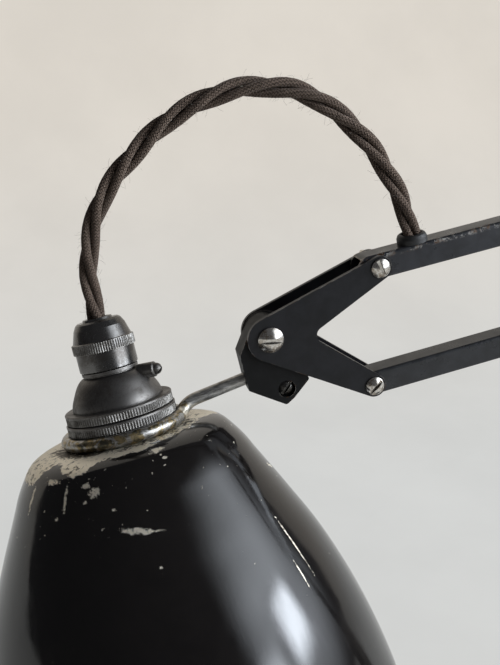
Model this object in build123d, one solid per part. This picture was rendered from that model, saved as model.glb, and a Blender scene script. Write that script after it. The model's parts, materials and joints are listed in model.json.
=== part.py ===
"""Spring-balanced architect desk lamp: stepped base, twin parallel-bar arm and tilting bell shade.

Millimetres, +Z up. The origin is the centre of the base's underside. The arms lie in the XZ plane,
with the elbow towards +X and the shade towards -X. The front of the lamp faces -Y.
"""
import os
from math import atan2, cos, degrees, hypot, radians, sin, sqrt, tan

from build123d import *

# ---------------------------------------------------------------- driving dimensions
# base
step_widths = (152.0, 124.0, 96.0)
step_height = 12.0
step_edge_radius = 2.0
step_corner_radius = 4.0
felt_thickness = 1.5
felt_inset = 3.0
boss_radius = 17.0
boss_height = 6.0
nut_recess_radius = 13.0
nut_recess_depth = 9.0
spindle_radius = 4.0
spindle_nut_width = 11.0
spindle_nut_height = 6.0
# swivel bracket
bracket_sheet = 3.0
bracket_foot_length = 27.0
cheek_thickness = 2.5
cheek_inner = 7.0
cheek_eye_radius = 9.5
base_pivot_rise = 46.5
spring_stud_rise = 35.0
spring_stud_radius = 2.5
spring_stud_reach = 21.0
horn_radius = 5.5
base_bolt_radius = 3.0
base_nut_width = 10.0
# arms
bar_width = 9.5
bar_wall = 0.9
bar_corner_radius = 1.1
lower_arm_length = 330.0
lower_arm_lean = 22.0
upper_arm_length = 330.0
upper_arm_slope = 12.0
parallel_gap = 46.2
tail_length = 48.0
bar_overhang = 6.0
upper_bar_nose = 8.0
lower_bar_nose = 4.9
bar_end_setback = 24.0
bar_screw_radius = 2.0
running_clearance = 0.05
cutter_reach = 30.0
plate_thickness = 1.6
plate_inner = 4.95
# elbow plates, clevis and rocker
elbow_eye_radius = 8.0
elbow_tip_radius = 6.5
rivet_radius = 1.8
rivet_head_radius = 3.2
rivet_head_height = 1.2
rivet_distances = (32.0, 46.0)
clevis_eye_radius = 6.5
clevis_overlap = 14.0
rocker_inner = 5.1
rocker_eye_radius = 9.0
rocker_tip_radius = 6.5
rocker_horn_reach = 30.0
rocker_horn_drop = 8.0
rocker_horn_radius = 5.0
rocker_pin_radius = 2.0
# balance springs
spring_radius = 6.0
link_spring_radius = 5.4
spring_bore_share = 0.68
spring_wire = 1.7
spring_hook = 12.0
spring_lateral = 16.0
crossbar_distance = 170.0
crossbar_radius = 3.0
crossbar_collar_radius = 4.6
spring_lug_distance = 190.0
spring_lug_offset = 14.0
spring_lug_ear = 1.6
spring_lug_rim = 1.6
spring_lug_foot_length = 18.0
spring_lug_foot_height = 1.2
# head plates
head_reach = 41.25
head_drop = 24.8
head_eye_radius = 8.5
head_tip_radius = 4.5
head_notch_radius = 3.2
tilt_screw_radius = 3.0
tilt_head_radius = 4.8
tilt_head_height = 2.7
small_head_radius = 3.6
small_head_height = 2.1
slot_width_share = 0.2
tilt_nut_width = 9.0
small_nut_width = 7.0
nut_height_share = 0.5
washer_thickness = 0.8
washer_radius = 8.2
# knuckle
knuckle_half_width = 4.6
knuckle_corners = ((-9.8, -6.4), (-6.7, -19.4), (6.9, -25.6), (9.2, -23.5), (14.3, -17.0))
knuckle_corner_radius = 1.2
knuckle_slit = 0.8
clamp_screw_place = (7.0, -20.6)
clamp_screw_radius = 1.6
clamp_head_radius = 3.1
clamp_head_height = 1.9
# cord grommet
grommet_distance = 16.0
grommet_radius = 5.7
grommet_height = 3.4
grommet_neck_radius = 3.75
grommet_bore_radius = 3.3
# rod, shade axis and wire fork
rod_tilt = 19.0
rod_drop = 13.2
rod_end_reach = 8.0
head_roll = 13.0
head_pitch = 8.0
wire_radius = 2.4
fork_reach = 61.6
fork_loop_radius = 21.2
fork_bend_radius = 9.0
fork_depth = 10.05
fork_end_angle = 12.0
fork_washer_radius = 20.4
fork_washer_thickness = 0.8
# shade: its wall as (radius, depth below its top)
shade_top = 12.5
shade_curve = (
    (24.0, 0.0), (27.8, 0.1), (31.8, 0.7), (36.4, 2.8), (39.6, 6.6), (43.1, 12.0), (47.2, 20.0),
    (54.8, 35.0), (64.1, 55.0), (72.5, 80.0), (78.2, 105.0), (81.2, 127.5),
)
shade_curve_steps = 20
shade_wall = 1.0
shade_hole_radius = 14.3
shade_rim_radius = 1.7
# lampholder
upper_ring_radius = 20.0
upper_ring_height = 3.6
lower_ring_radius = 20.4
ring_groove = 0.4
ring_rim = 0.35
ring_bore_radius = 14.1
ring_skirt_radius = 18.3
barrel_radius = 14.0
barrel_wall = 1.5
barrel_depth = 38.0
barrel_floor = 3.0
dome_curve = ((16.8, 0.6), (15.3, 5.0), (13.2, 8.8), (9.9, 11.4))
bead_radius = 10.4
bead_height = 1.2
cap_seat = 13.2
cap_height = 18.0
cap_wall_radius = 10.8
cap_band_radius = 11.3
cap_band_bottom = 7.0
cap_band_height = 3.7
cap_shoulder_radius = 9.5
cap_shoulder_drop = 2.6
cap_top_radius = 7.6
cap_collar_radius = 5.6
cap_collar_height = 0.8
shade_ring_radius = 20.0
shade_ring_height = 4.0
holder_chamber_radius = 8.0
earth_azimuth = -22.0
earth_height = 9.4
earth_boss_radius = 2.8
earth_boss_start = 11.0
earth_boss_end = 17.6
earth_screw_radius = 2.1
earth_screw_length = 2.4
# bulb
bulb_cap_radius = 11.0
bulb_cap_top = 22.0
bulb_cap_height = 21.0
bulb_neck_radius = 13.0
bulb_radius = 30.0
bulb_centre = 90.0
bulb_wall = 1.0
bayonet_pin_radius = 1.0
bayonet_pin_drop = 7.0
bulb_throat_step = 1.5
bulb_neck_swell = 0.6
bulb_neck_length = 12.0
bulb_shoulder_rise = 13.0
bulb_shoulder_radius = 27.0
# twisted flex from the lampholder to the grommet
flex_radius = 3.7
flex_tuck = 1.2
flex_clearance = 0.3
flex_first_run = 13.0
flex_route_head = ((-62.7, 12.8, 37.2), (-56.2, 12.5, 54.1))
flex_route_crown = ((-37.6, 10.8, 74.8), (-20.5, 8.8, 85.0), (-3.9, 6.5, 89.3), (15.8, 4.0, 87.1))
flex_route_arm = ((35.7, 1.8, 72.2), (47.7, 0.5, 54.7), (52.9, 0.0, 43.6))

# ---------------------------------------------------------------- derived places
base_top = felt_thickness + step_height * len(step_widths)
boss_top = base_top + boss_height
pivot_base = Vector(0, 0, boss_top + base_pivot_rise)
lean = Vector(sin(radians(lower_arm_lean)), 0, cos(radians(lower_arm_lean)))
reach = Vector(-cos(radians(upper_arm_slope)), 0, -sin(radians(upper_arm_slope)))
offset_up = Vector(0, 0, parallel_gap)
pivot_elbow_low = pivot_base + lean * lower_arm_length
pivot_elbow_high = pivot_elbow_low + offset_up
pivot_head_low = pivot_elbow_low + reach * upper_arm_length
pivot_head_high = pivot_head_low + offset_up
pivot_tail = pivot_elbow_low - reach * tail_length
pivot_rocker = pivot_base - reach * tail_length
pivot_horn = pivot_base + Vector(-rocker_horn_reach, 0, -rocker_horn_drop)
pivot_tilt = pivot_head_high + Vector(-head_reach, 0, -head_drop)
crossbar_place = pivot_base + lean * crossbar_distance
spring_anchor = pivot_base + Vector(0, 0, spring_stud_rise)
lug_side = Vector(-lean.Z, 0, lean.X)
spring_lug_place = pivot_base + lean * spring_lug_distance + lug_side * spring_lug_offset
rod_x = Vector(cos(radians(rod_tilt)), 0, sin(radians(rod_tilt)))
rod_z = Vector(-rod_x.Z, 0, rod_x.X)
rod_foot = pivot_tilt - rod_z * rod_drop
loop_place = Pos(-fork_reach, 0, 0) * Rot(0, head_pitch, 0)
rod_turn = Plane(origin=rod_foot, x_dir=rod_x, z_dir=rod_z).location * Rot(-head_roll, 0, 0)
head_plane = Plane(rod_turn * loop_place * Pos(0, 0, fork_depth))
holder_seat = head_plane.origin
head_z = head_plane.z_dir
cheek_outer = cheek_inner + cheek_thickness
plate_outer = plate_inner + plate_thickness
rocker_outer = rocker_inner + plate_thickness


rising = (Align.CENTER, Align.CENTER, Align.MIN)
sinking = (Align.CENTER, Align.CENTER, Align.MAX)


# ---------------------------------------------------------------- general helpers
def side_point(place):
    """The (x, z) of a place, for sketches that are drawn in the XZ plane."""
    return (place.X, place.Z)


def side_plate(outline, y_low, thickness):
    """A plate of the given XZ outline, from y_low towards +Y."""
    return Pos(0, y_low + thickness, 0) * extrude(Plane.XZ * outline, amount=thickness)


def eye(place, radius):
    """A disc in the XZ sketch plane about a place."""
    return Pos(*side_point(place)) * Circle(radius)


def hull(*discs):
    """The outline of a band stretched round several discs."""
    edges = [edge for disc in discs for edge in disc.edges()]
    return make_hull(edges)


def cross_hole(place, radius, half_length=cutter_reach):
    """A cutter along Y through a place."""
    return Pos(place.X, 0, place.Z) * Rot(90, 0, 0) * Cylinder(radius, 2 * half_length)


def bar_plane(start, direction):
    """A frame with X along a bar, Y across the lamp and Z to the bar's upper side."""
    return Plane(origin=start, x_dir=direction, z_dir=Vector(-direction.Z, 0, direction.X))


def square_bar(start, end, before, after):
    """A square tube between two places, longer by before and after."""
    run = end - start
    length = run.length + before + after
    plane = bar_plane(start, run.normalized())
    outer = RectangleRounded(bar_width, bar_width, bar_corner_radius)
    bore_width = bar_width - 2 * bar_wall
    inner = RectangleRounded(bore_width, bore_width, max(bar_corner_radius - bar_wall, 0.2))
    tube = extrude(Plane.YZ * (outer - inner), amount=length)
    return plane.location * (Pos(-before, 0, 0) * tube)


def round_end(place, nose):
    """A cutter that rounds the head end of an arm bar, a nose length before the place."""
    radius = bar_width / 2
    centre = Pos(radius - nose, 0, 0)
    block = Box(2 * bar_width, cutter_reach, 2 * bar_width, align=(Align.MAX, Align.CENTER, Align.CENTER))
    keep = Rot(90, 0, 0) * Cylinder(radius, cutter_reach)
    return bar_plane(place, -reach).location * centre * (block - keep)


def front_plane(place, y):
    """A frame on a front face: Z points out of the lamp's front."""
    return Plane(origin=(place.X, y, place.Z), x_dir=(1, 0, 0), z_dir=(0, -1, 0))


def slotted_screw(head_radius, head_height, shank_radius, shank_length, slot_angle):
    """A domed screw with a slot; its head stands on Z = 0 and its shank goes down."""
    edge = head_height * 0.3
    dome = head_height - edge
    sphere_radius = (head_radius**2 + dome**2) / (2 * dome)
    head = Pos(0, 0, edge / 2) * Cylinder(head_radius, edge)
    cap = Pos(0, 0, head_height - sphere_radius) * Sphere(sphere_radius)
    cap &= Pos(0, 0, edge + dome / 2) * Box(4 * head_radius, 4 * head_radius, dome)
    shank = Pos(0, 0, -shank_length / 2) * Cylinder(shank_radius, shank_length)
    slot_depth = head_height * 0.55
    slot = Box(3 * head_radius, 2 * head_radius * slot_width_share, slot_depth)
    slot = Rot(0, 0, slot_angle) * Pos(0, 0, head_height - slot_depth / 2) * slot
    return head + cap + shank - slot


def hex_nut(width, bore_radius):
    """A hexagon nut that stands on Z = 0."""
    height = width * nut_height_share
    body = extrude(RegularPolygon(width / 2, 6, major_radius=False), amount=height)
    rounding = Cylinder(width / sqrt(3) * 0.97, height, align=rising)
    body &= rounding
    return body - Cylinder(bore_radius, 3 * height)


def screw_across(place, y_front, y_back, head_radius, head_height, shank_radius, nut_width, slot_angle):
    """A screw through the lamp along Y, and the nut on its far end."""
    nut_height = nut_width * nut_height_share
    length = y_back - y_front + nut_height + 1.0
    screw = slotted_screw(head_radius, head_height, shank_radius, length, slot_angle)
    screw = front_plane(place, y_front).location * screw
    nut = hex_nut(nut_width, shank_radius + running_clearance)
    back = Plane(origin=(place.X, y_back, place.Z), x_dir=(1, 0, 0), z_dir=(0, 1, 0))
    return screw, back.location * nut


def ring_of(profile, plane=None):
    """A closed (r, z) outline turned about Z, placed in a frame."""
    solid = revolve(Plane.XZ * make_face(Polyline(*profile, close=True)), Axis.Z)
    return plane.location * solid if plane else solid


# ---------------------------------------------------------------- base
def base_casting():
    """Three square steps with a turned boss, bored for the spindle and its nut."""
    body = None
    for index, width in enumerate(step_widths):
        step = extrude(RectangleRounded(width, width, step_corner_radius), amount=step_height)
        step = fillet(step.faces().sort_by(Axis.Z)[-1].edges(), step_edge_radius)
        step = Pos(0, 0, felt_thickness + index * step_height) * step
        body = step if body is None else body + step
    boss = Cylinder(boss_radius, boss_height, align=rising)
    boss = chamfer(boss.faces().sort_by(Axis.Z)[-1].edges(), 1.0)
    body += Pos(0, 0, base_top) * boss
    recess = Cylinder(nut_recess_radius, nut_recess_depth, align=rising)
    body -= Pos(0, 0, felt_thickness) * recess
    return body - Cylinder(spindle_radius + running_clearance, 3 * boss_top)


def base_felt():
    width = step_widths[0] - 2 * felt_inset
    return extrude(RectangleRounded(width, width, step_corner_radius), amount=felt_thickness)


def spindle():
    """The swivel spindle: a hexagon head in the recess and a plain shank through the bracket."""
    head_height = spindle_nut_height
    head = extrude(RegularPolygon(spindle_nut_width / 2, 6, major_radius=False), amount=head_height)
    seat = felt_thickness + nut_recess_depth
    shank_top = boss_top + bracket_sheet + spindle_nut_height
    shank = Cylinder(spindle_radius, shank_top - seat, align=rising)
    return Pos(0, 0, seat - head_height) * head + Pos(0, 0, seat) * shank


def spindle_nut():
    nut = extrude(RegularPolygon(spindle_nut_width / 2, 6, major_radius=False), amount=spindle_nut_height)
    nut -= Cylinder(spindle_radius + running_clearance, 3 * spindle_nut_height)
    return Pos(0, 0, boss_top + bracket_sheet) * nut


# ---------------------------------------------------------------- swivel bracket
def bracket_cheek(y_low):
    """One cheek: a foot that narrows to the pivot eye, and a horn up to the spring stud."""
    foot_edge = Pos(0, boss_top + bracket_sheet / 2) * Rectangle(bracket_foot_length, bracket_sheet)
    pivot_eye = eye(pivot_base, cheek_eye_radius)
    outline = hull(foot_edge, pivot_eye) + hull(pivot_eye, eye(spring_anchor, horn_radius))
    return side_plate(outline, y_low, cheek_thickness)


def swivel_bracket():
    """A folded bracket: a foot on the boss and two cheeks."""
    foot = Box(bracket_foot_length, 2 * cheek_outer, bracket_sheet)
    body = Pos(0, 0, boss_top + bracket_sheet / 2) * foot
    for y_low in (cheek_inner, -cheek_outer):
        body += bracket_cheek(y_low)
    body -= cross_hole(pivot_base, base_bolt_radius + running_clearance)
    body -= cross_hole(spring_anchor, spring_stud_radius)
    return body - Cylinder(spindle_radius + running_clearance, 3 * boss_top)


def spring_stud(side):
    """A headed stud in a cheek's horn that one balance spring hooks on."""
    length = spring_stud_reach - cheek_inner
    stud = Pos(0, 0, length / 2) * Cylinder(spring_stud_radius, length)
    head = Cylinder(spring_stud_radius + 1.5, 1.5, align=sinking)
    collar = Cylinder(spring_stud_radius + 1.0, 3.0, align=rising)
    stud += Pos(0, 0, length) * head + Pos(0, 0, cheek_thickness) * collar
    plane = Plane(origin=(spring_anchor.X, side * cheek_inner, spring_anchor.Z), z_dir=(0, side, 0))
    return plane.location * stud


# ---------------------------------------------------------------- arms
def lower_arm_tube():
    end = pivot_elbow_low - lean * bar_end_setback
    tube = square_bar(pivot_base, end, bar_overhang, 0)
    tube -= cross_hole(pivot_base, base_bolt_radius + running_clearance)
    tube -= cross_hole(crossbar_place, crossbar_radius)
    for distance in rivet_distances:
        tube -= cross_hole(pivot_elbow_low - lean * distance, rivet_radius)
    return tube


def elbow_plate(y_low):
    """A bent side plate that carries both bars of the upper arm on top of the lower arm."""
    foot = pivot_elbow_low - lean * (rivet_distances[-1] + 4.0)
    corner = eye(pivot_elbow_low, elbow_eye_radius)
    outline = hull(corner, eye(foot, elbow_tip_radius))
    outline += hull(corner, eye(pivot_elbow_high, elbow_tip_radius))
    plate = side_plate(outline, y_low, plate_thickness)
    for place in (pivot_elbow_low, pivot_elbow_high):
        plate -= cross_hole(place, bar_screw_radius + running_clearance)
    for distance in rivet_distances:
        plate -= cross_hole(pivot_elbow_low - lean * distance, rivet_radius)
    return plate


def elbow_rivets():
    """The rivets that fasten the elbow plates to the lower arm."""
    rivets = []
    for distance in rivet_distances:
        place = pivot_elbow_low - lean * distance
        rivet = Cylinder(rivet_radius, 2 * plate_outer)
        head = Cylinder(rivet_head_radius, rivet_head_height, align=rising)
        head = fillet(head.faces().sort_by(Axis.Z)[-1].edges(), rivet_head_height * 0.7)
        rivet += Pos(0, 0, plate_outer) * head + Rot(180, 0, 0) * Pos(0, 0, plate_outer) * head
        rivets.append(front_plane(place, 0).location * rivet)
    return Compound(rivets)


def spring_crossbar():
    """The pin through the lower arm that both balance springs hang on."""
    length = 2 * spring_stud_reach
    pin = Cylinder(crossbar_radius, length)
    half = bar_width / 2
    for side in (-1, 1):
        collar_length = spring_lateral - half - 2.5
        pin += Pos(0, 0, side * (half + collar_length / 2)) * Cylinder(crossbar_collar_radius, collar_length)
        pin += Pos(0, 0, side * (length / 2 - 0.75)) * Cylinder(crossbar_collar_radius, 1.5)
    return front_plane(crossbar_place, 0).location * pin


def spring_lug():
    """A forked lug on the lower arm's face with a pin for the link spring."""
    ear_low = crossbar_radius
    half = bar_width / 2
    reach_out = spring_lug_offset - half
    ear_radius = rocker_pin_radius + spring_lug_rim
    outline = hull(Circle(ear_radius), Pos(0, ear_radius - reach_out) * Circle(ear_radius))
    ear = extrude(outline, amount=spring_lug_ear)
    foot = Box(spring_lug_foot_length, spring_lug_foot_height, 2 * (ear_low + spring_lug_ear))
    base = Pos(0, -reach_out + spring_lug_foot_height / 2, 0) * foot
    body = base + Pos(0, 0, ear_low) * ear + Pos(0, 0, -ear_low - spring_lug_ear) * ear
    body += Cylinder(rocker_pin_radius, 2 * (ear_low + spring_lug_ear))
    plane = Plane(origin=spring_lug_place, x_dir=lean, z_dir=(0, -1, 0))
    return plane.location * body


def upper_bar():
    """The upper bar of the arm, with the cord's entry hole near the head."""
    bar = square_bar(pivot_head_high, pivot_elbow_high, upper_bar_nose, bar_overhang)
    for place in (pivot_head_high, pivot_elbow_high):
        bar -= cross_hole(place, bar_screw_radius + running_clearance)
    bar -= round_end(pivot_head_high, upper_bar_nose)
    return bar - grommet_plane().location * Cylinder(grommet_neck_radius, 4 * bar_wall)


def lower_bar():
    bar = square_bar(pivot_head_low, pivot_tail, lower_bar_nose, bar_overhang)
    for place in (pivot_head_low, pivot_elbow_low, pivot_tail):
        bar -= cross_hole(place, bar_screw_radius + running_clearance)
    return bar - round_end(pivot_head_low, lower_bar_nose)


def link_bar():
    """The rear link, parallel to the lower arm, with a welded clevis at its top."""
    end = pivot_tail - lean * bar_end_setback
    bar = square_bar(pivot_rocker, end, bar_overhang, 0)
    plane = bar_plane(end, lean)
    pad = Box(clevis_overlap, 2 * plate_inner, bar_width, align=(Align.MAX, Align.CENTER, Align.CENTER))
    pad -= Box(4 * clevis_overlap, bar_width - bar_wall, bar_width - 2 * bar_wall)
    bar += plane.location * pad
    cheek_foot = eye(end - lean * (clevis_overlap - bar_width / 2), bar_width / 2)
    cheek = hull(eye(pivot_tail, clevis_eye_radius), cheek_foot)
    for y_low in (plate_inner, -plate_outer):
        bar += side_plate(cheek, y_low, plate_thickness)
    bar -= cross_hole(pivot_tail, bar_screw_radius + running_clearance)
    return bar - cross_hole(pivot_rocker, bar_screw_radius + running_clearance)


def grommet_plane():
    """The frame of the cord's entry, on the upper bar's top face."""
    plane = bar_plane(pivot_head_high, -reach)
    origin = pivot_head_high - reach * grommet_distance + plane.z_dir * (bar_width / 2)
    return Plane(origin=origin, x_dir=plane.x_dir, z_dir=plane.z_dir)


def cord_grommet():
    """A rubber grommet with a rounded flange and a flared bore."""
    lip = flex_radius + flex_clearance
    neck = grommet_neck_radius - running_clearance
    foot = -2 * bar_wall
    floor = grommet_height - flex_tuck - flex_clearance
    profile = (
        (grommet_bore_radius, foot), (neck, foot), (neck, 0.0), (grommet_radius, 0.0),
        (grommet_radius, grommet_height * 0.55), (grommet_radius - 0.5, grommet_height * 0.88),
        (grommet_radius - 1.1, grommet_height), (lip, grommet_height),
        (lip, floor), (grommet_bore_radius, floor),
    )
    return ring_of(profile, grommet_plane())


# ---------------------------------------------------------------- rocker
def rocker_plate(y_low):
    """A cranked plate on the base pivot that drives the rear link and holds the link spring."""
    middle = eye(pivot_base, rocker_eye_radius)
    outline = hull(middle, eye(pivot_rocker, rocker_tip_radius))
    outline += hull(middle, eye(pivot_horn, rocker_horn_radius))
    plate = side_plate(outline, y_low, plate_thickness)
    plate -= cross_hole(pivot_base, base_bolt_radius + running_clearance)
    plate -= cross_hole(pivot_rocker, bar_screw_radius + running_clearance)
    return plate - cross_hole(pivot_horn, rocker_pin_radius)


def rocker_spring_pin():
    return front_plane(pivot_horn, 0).location * Cylinder(rocker_pin_radius, 2 * rocker_outer)


# ---------------------------------------------------------------- springs
def spring_between(low, high, lateral, coil_radius, low_pin, high_pin):
    """A close coil as a plain tube, with a straight hook and a round eye on each pin."""
    run = high - low
    start, end = (Vector(place.X, lateral, place.Z) for place in (low, high))
    length = run.length
    wire = spring_wire / 2
    plane = Plane(origin=start, x_dir=(0, 1, 0), z_dir=run.normalized())
    coil_length = length - 2 * spring_hook
    coil = Cylinder(coil_radius, coil_length)
    coil -= Cylinder(coil_radius * spring_bore_share, coil_length - 2 * spring_wire)
    body = Pos(0, 0, length / 2) * coil
    for place, pin, toward in ((0.0, low_pin, 1), (length, high_pin, -1)):
        eye_radius = pin + running_clearance + wire + 0.1
        stem = spring_hook - eye_radius + wire
        stem_centre = place + toward * (eye_radius + stem / 2 - wire / 2)
        body += Pos(0, 0, stem_centre) * Cylinder(wire, stem)
        body += Pos(0, 0, place) * Rot(0, 90, 0) * Torus(eye_radius, wire)
    return plane.location * body


# ---------------------------------------------------------------- head plates
def head_plate(y_low):
    """A forked plate: a round eye at the tilt pivot and a branch to each bar."""
    eye_disc = eye(pivot_tilt, head_eye_radius)
    branches = [hull(eye_disc, eye(place, head_tip_radius)) for place in (pivot_head_high, pivot_head_low)]
    outline = branches[0] + branches[1]
    notch = outline.vertices().sort_by_distance(Vector(pivot_tilt.X + 2 * head_eye_radius, pivot_tilt.Z))[0]
    outline = fillet(notch, head_notch_radius)
    plate = side_plate(outline, y_low, plate_thickness)
    for place in (pivot_head_high, pivot_head_low):
        plate -= cross_hole(place, bar_screw_radius + running_clearance)
    return plate - cross_hole(pivot_tilt, tilt_screw_radius + running_clearance)


def fibre_washer(y_low):
    washer = eye(pivot_tilt, washer_radius) - eye(pivot_tilt, tilt_screw_radius + running_clearance)
    return side_plate(washer, y_low, washer_thickness)


# ---------------------------------------------------------------- knuckle
def knuckle():
    """The tilting clamp between the head plates, bored for the fork's rod and slit below it."""
    corners = [eye(pivot_tilt + Vector(x, 0, z), knuckle_corner_radius) for x, z in knuckle_corners]
    outline = hull(eye(pivot_tilt, head_eye_radius - 0.5), *corners)
    body = side_plate(outline, -knuckle_half_width, 2 * knuckle_half_width)
    seat = plate_inner - washer_thickness - 2 * running_clearance
    for side in (-1, 1):
        recess = eye(pivot_tilt, washer_radius + 0.3)
        body -= side_plate(recess, seat if side > 0 else -seat - 2.0, 2.0)
    rod_plane = Plane(origin=rod_foot, x_dir=(0, 1, 0), z_dir=rod_x)
    bore = Cylinder(wire_radius + running_clearance, 2 * cutter_reach, align=sinking)
    body -= rod_plane.location * Pos(0, 0, rod_end_reach + 0.3) * bore
    slit = Box(knuckle_slit, cutter_reach, 2 * cutter_reach, align=(Align.CENTER, Align.MAX, Align.CENTER))
    body -= rod_plane.location * slit
    place = pivot_tilt + Vector(clamp_screw_place[0], 0, clamp_screw_place[1])
    body -= cross_hole(place, clamp_screw_radius)
    counterbore = Cylinder(clamp_head_radius + 0.2, clamp_head_height, align=sinking)
    body -= front_plane(place, -knuckle_half_width).location * counterbore
    return body - cross_hole(pivot_tilt, tilt_screw_radius + running_clearance)


def clamp_screw():
    place = pivot_tilt + Vector(clamp_screw_place[0], 0, clamp_screw_place[1])
    shank = 2 * knuckle_half_width - clamp_head_height
    screw = slotted_screw(clamp_head_radius, clamp_head_height - 0.1, clamp_screw_radius, shank, 55.0)
    return front_plane(place, -knuckle_half_width + clamp_head_height).location * screw


# ---------------------------------------------------------------- wire fork and shade
def fork_path():
    """The wire's centreline: a loop round the lampholder, a rising bend and the straight rod."""
    loop, bend = fork_loop_radius, fork_bend_radius
    bend_x = sqrt((loop + bend) ** 2 - bend**2)
    join = degrees(atan2(-bend, bend_x))
    around = 360.0 + join - fork_end_angle
    centre = Vector(0, 0, -fork_depth)
    rod_run = Vector(cos(radians(head_pitch)), 0, sin(radians(head_pitch)))
    circle = Pos(*centre) * CenterArc((0, 0), loop, fork_end_angle, around)
    rod = Line(centre + rod_run * bend_x, centre + rod_run * (fork_reach + rod_end_reach))
    rise = Spline(circle @ 1, rod @ 0, tangents=(circle % 1, rod_run))
    return circle, rise, rod


def wire_fork():
    """The bent wire that carries the shade, with its thin seat washer brazed in the loop."""
    section = Circle(wire_radius)
    body = None
    for edge in fork_path():
        piece = sweep(Plane(origin=edge @ 0, z_dir=edge % 0) * section, path=edge)
        body = piece if body is None else body + piece
    tip = fork_path()[0] @ 0
    body += Pos(*tip) * Sphere(wire_radius)
    washer = Circle(fork_washer_radius) - Circle(shade_hole_radius)
    body += Pos(0, 0, -shade_top) * extrude(washer, amount=fork_washer_thickness)
    return head_plane.location * body


def bell_walls():
    """The bell's outer and inner wall curves, from the flat top down to the mouth."""
    outer = Spline(*[(radius, -shade_top - depth) for radius, depth in shade_curve])
    shares = [(step / shade_curve_steps) ** 1.5 for step in range(shade_curve_steps + 1)]
    samples = [(outer @ share, (outer % share).normalized()) for share in shares]
    inner = Spline(*[place + Vector(along.Y, -along.X) * shade_wall for place, along in samples])
    return outer, inner


def shade():
    """A thin spun bell with a flat top, a round shoulder and a rolled rim."""
    outer, inner = bell_walls()
    top_edge = Polyline(inner @ 0, (shade_hole_radius, -shade_top - shade_wall),
                        (shade_hole_radius, -shade_top), outer @ 0)
    body = revolve(Plane.XZ * make_face([outer, Line(outer @ 1, inner @ 1), inner, top_edge]), Axis.Z)
    mouth = ((outer @ 1) + (inner @ 1)) / 2
    return head_plane.location * (body + Pos(0, 0, mouth.Y) * Torus(mouth.X, shade_rim_radius))


# ---------------------------------------------------------------- lampholder
def holder_ring(radius, z_low, z_high):
    """A ring with a thin raised rim at its top."""
    wall = radius - ring_rim
    profile = (
        (ring_bore_radius, z_low), (wall, z_low), (wall, z_high - 0.9), (radius, z_high - 0.9),
        (radius, z_high - 0.3), (radius - 0.3, z_high), (ring_bore_radius, z_high),
    )
    return ring_of(profile, head_plane)


def holder_ring_upper():
    return holder_ring(upper_ring_radius, -upper_ring_height, 0.0)


def holder_ring_lower():
    """The ring on the wire's loop, with a skirt inside the loop that rests on the loop's washer."""
    low = wire_radius + running_clearance - fork_depth
    skirt_low = fork_washer_thickness - shade_top
    skirt = (
        (ring_bore_radius, skirt_low), (ring_skirt_radius, skirt_low),
        (ring_skirt_radius, low + 1.0), (ring_bore_radius, low + 1.0),
    )
    high = -upper_ring_height - ring_groove
    return holder_ring(lower_ring_radius, low, high) + ring_of(skirt, head_plane)


def holder_barrel():
    """The lampholder's barrel through the shade, open at the bottom for the bulb's cap."""
    profile = (
        (0, 0), (0, -barrel_floor), (barrel_radius - barrel_wall, -barrel_floor),
        (barrel_radius - barrel_wall, -barrel_depth), (barrel_radius, -barrel_depth), (barrel_radius, 0),
    )
    return ring_of(profile, head_plane)


def shade_ring():
    """The threaded ring that holds the shade up against the lampholder."""
    high = -shade_top - shade_wall
    low = high - shade_ring_height
    profile = (
        (ring_bore_radius, low), (shade_ring_radius - 1.0, low), (shade_ring_radius, low + 1.0),
        (shade_ring_radius, high), (ring_bore_radius, high),
    )
    return ring_of(profile, head_plane)


def holder_dome():
    """The domed cover between the rings and the cap, with a bead at its neck."""
    curve = Spline(*dome_curve, tangents=((-0.1, 1), (-1, 0.35)))
    bead_low, bead_high = cap_seat - bead_height, cap_seat - 0.2
    rim = [(bead_radius, bead_low), (bead_radius, bead_high), (holder_chamber_radius, bead_high)]
    foot = [(holder_chamber_radius, 0), (dome_curve[0][0], 0), curve @ 0]
    neck = [curve @ 1, (dome_curve[-1][0], bead_low)]
    outline = make_face([curve, Polyline(*neck, *rim, *foot)])
    body = revolve(Plane.XZ * outline, Axis.Z)
    bore = earth_plane().location * Cylinder(earth_boss_radius, cutter_reach, align=rising)
    return head_plane.location * (body - bore)


def earth_plane():
    """The frame of the earth post in the lampholder's own frame: Z points outwards."""
    out = Vector(cos(radians(earth_azimuth)), sin(radians(earth_azimuth)), 0)
    return Plane(origin=out * earth_boss_start + Vector(0, 0, earth_height), z_dir=out)


def earth_post():
    length = earth_boss_end - earth_boss_start
    post = Cylinder(earth_boss_radius, length, align=rising)
    post = chamfer(post.faces().sort_by(Axis.Z)[-1].edges(), 0.4)
    post -= Pos(0, 0, length - 3.0) * Cylinder(1.0, 3.0, align=rising)
    return head_plane.location * earth_plane().location * post


def earth_screw():
    length = earth_boss_end - earth_boss_start
    screw = slotted_screw(earth_screw_radius, earth_screw_length, 1.0 - running_clearance, 2.5, 40.0)
    return head_plane.location * earth_plane().location * Pos(0, 0, length) * screw


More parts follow.
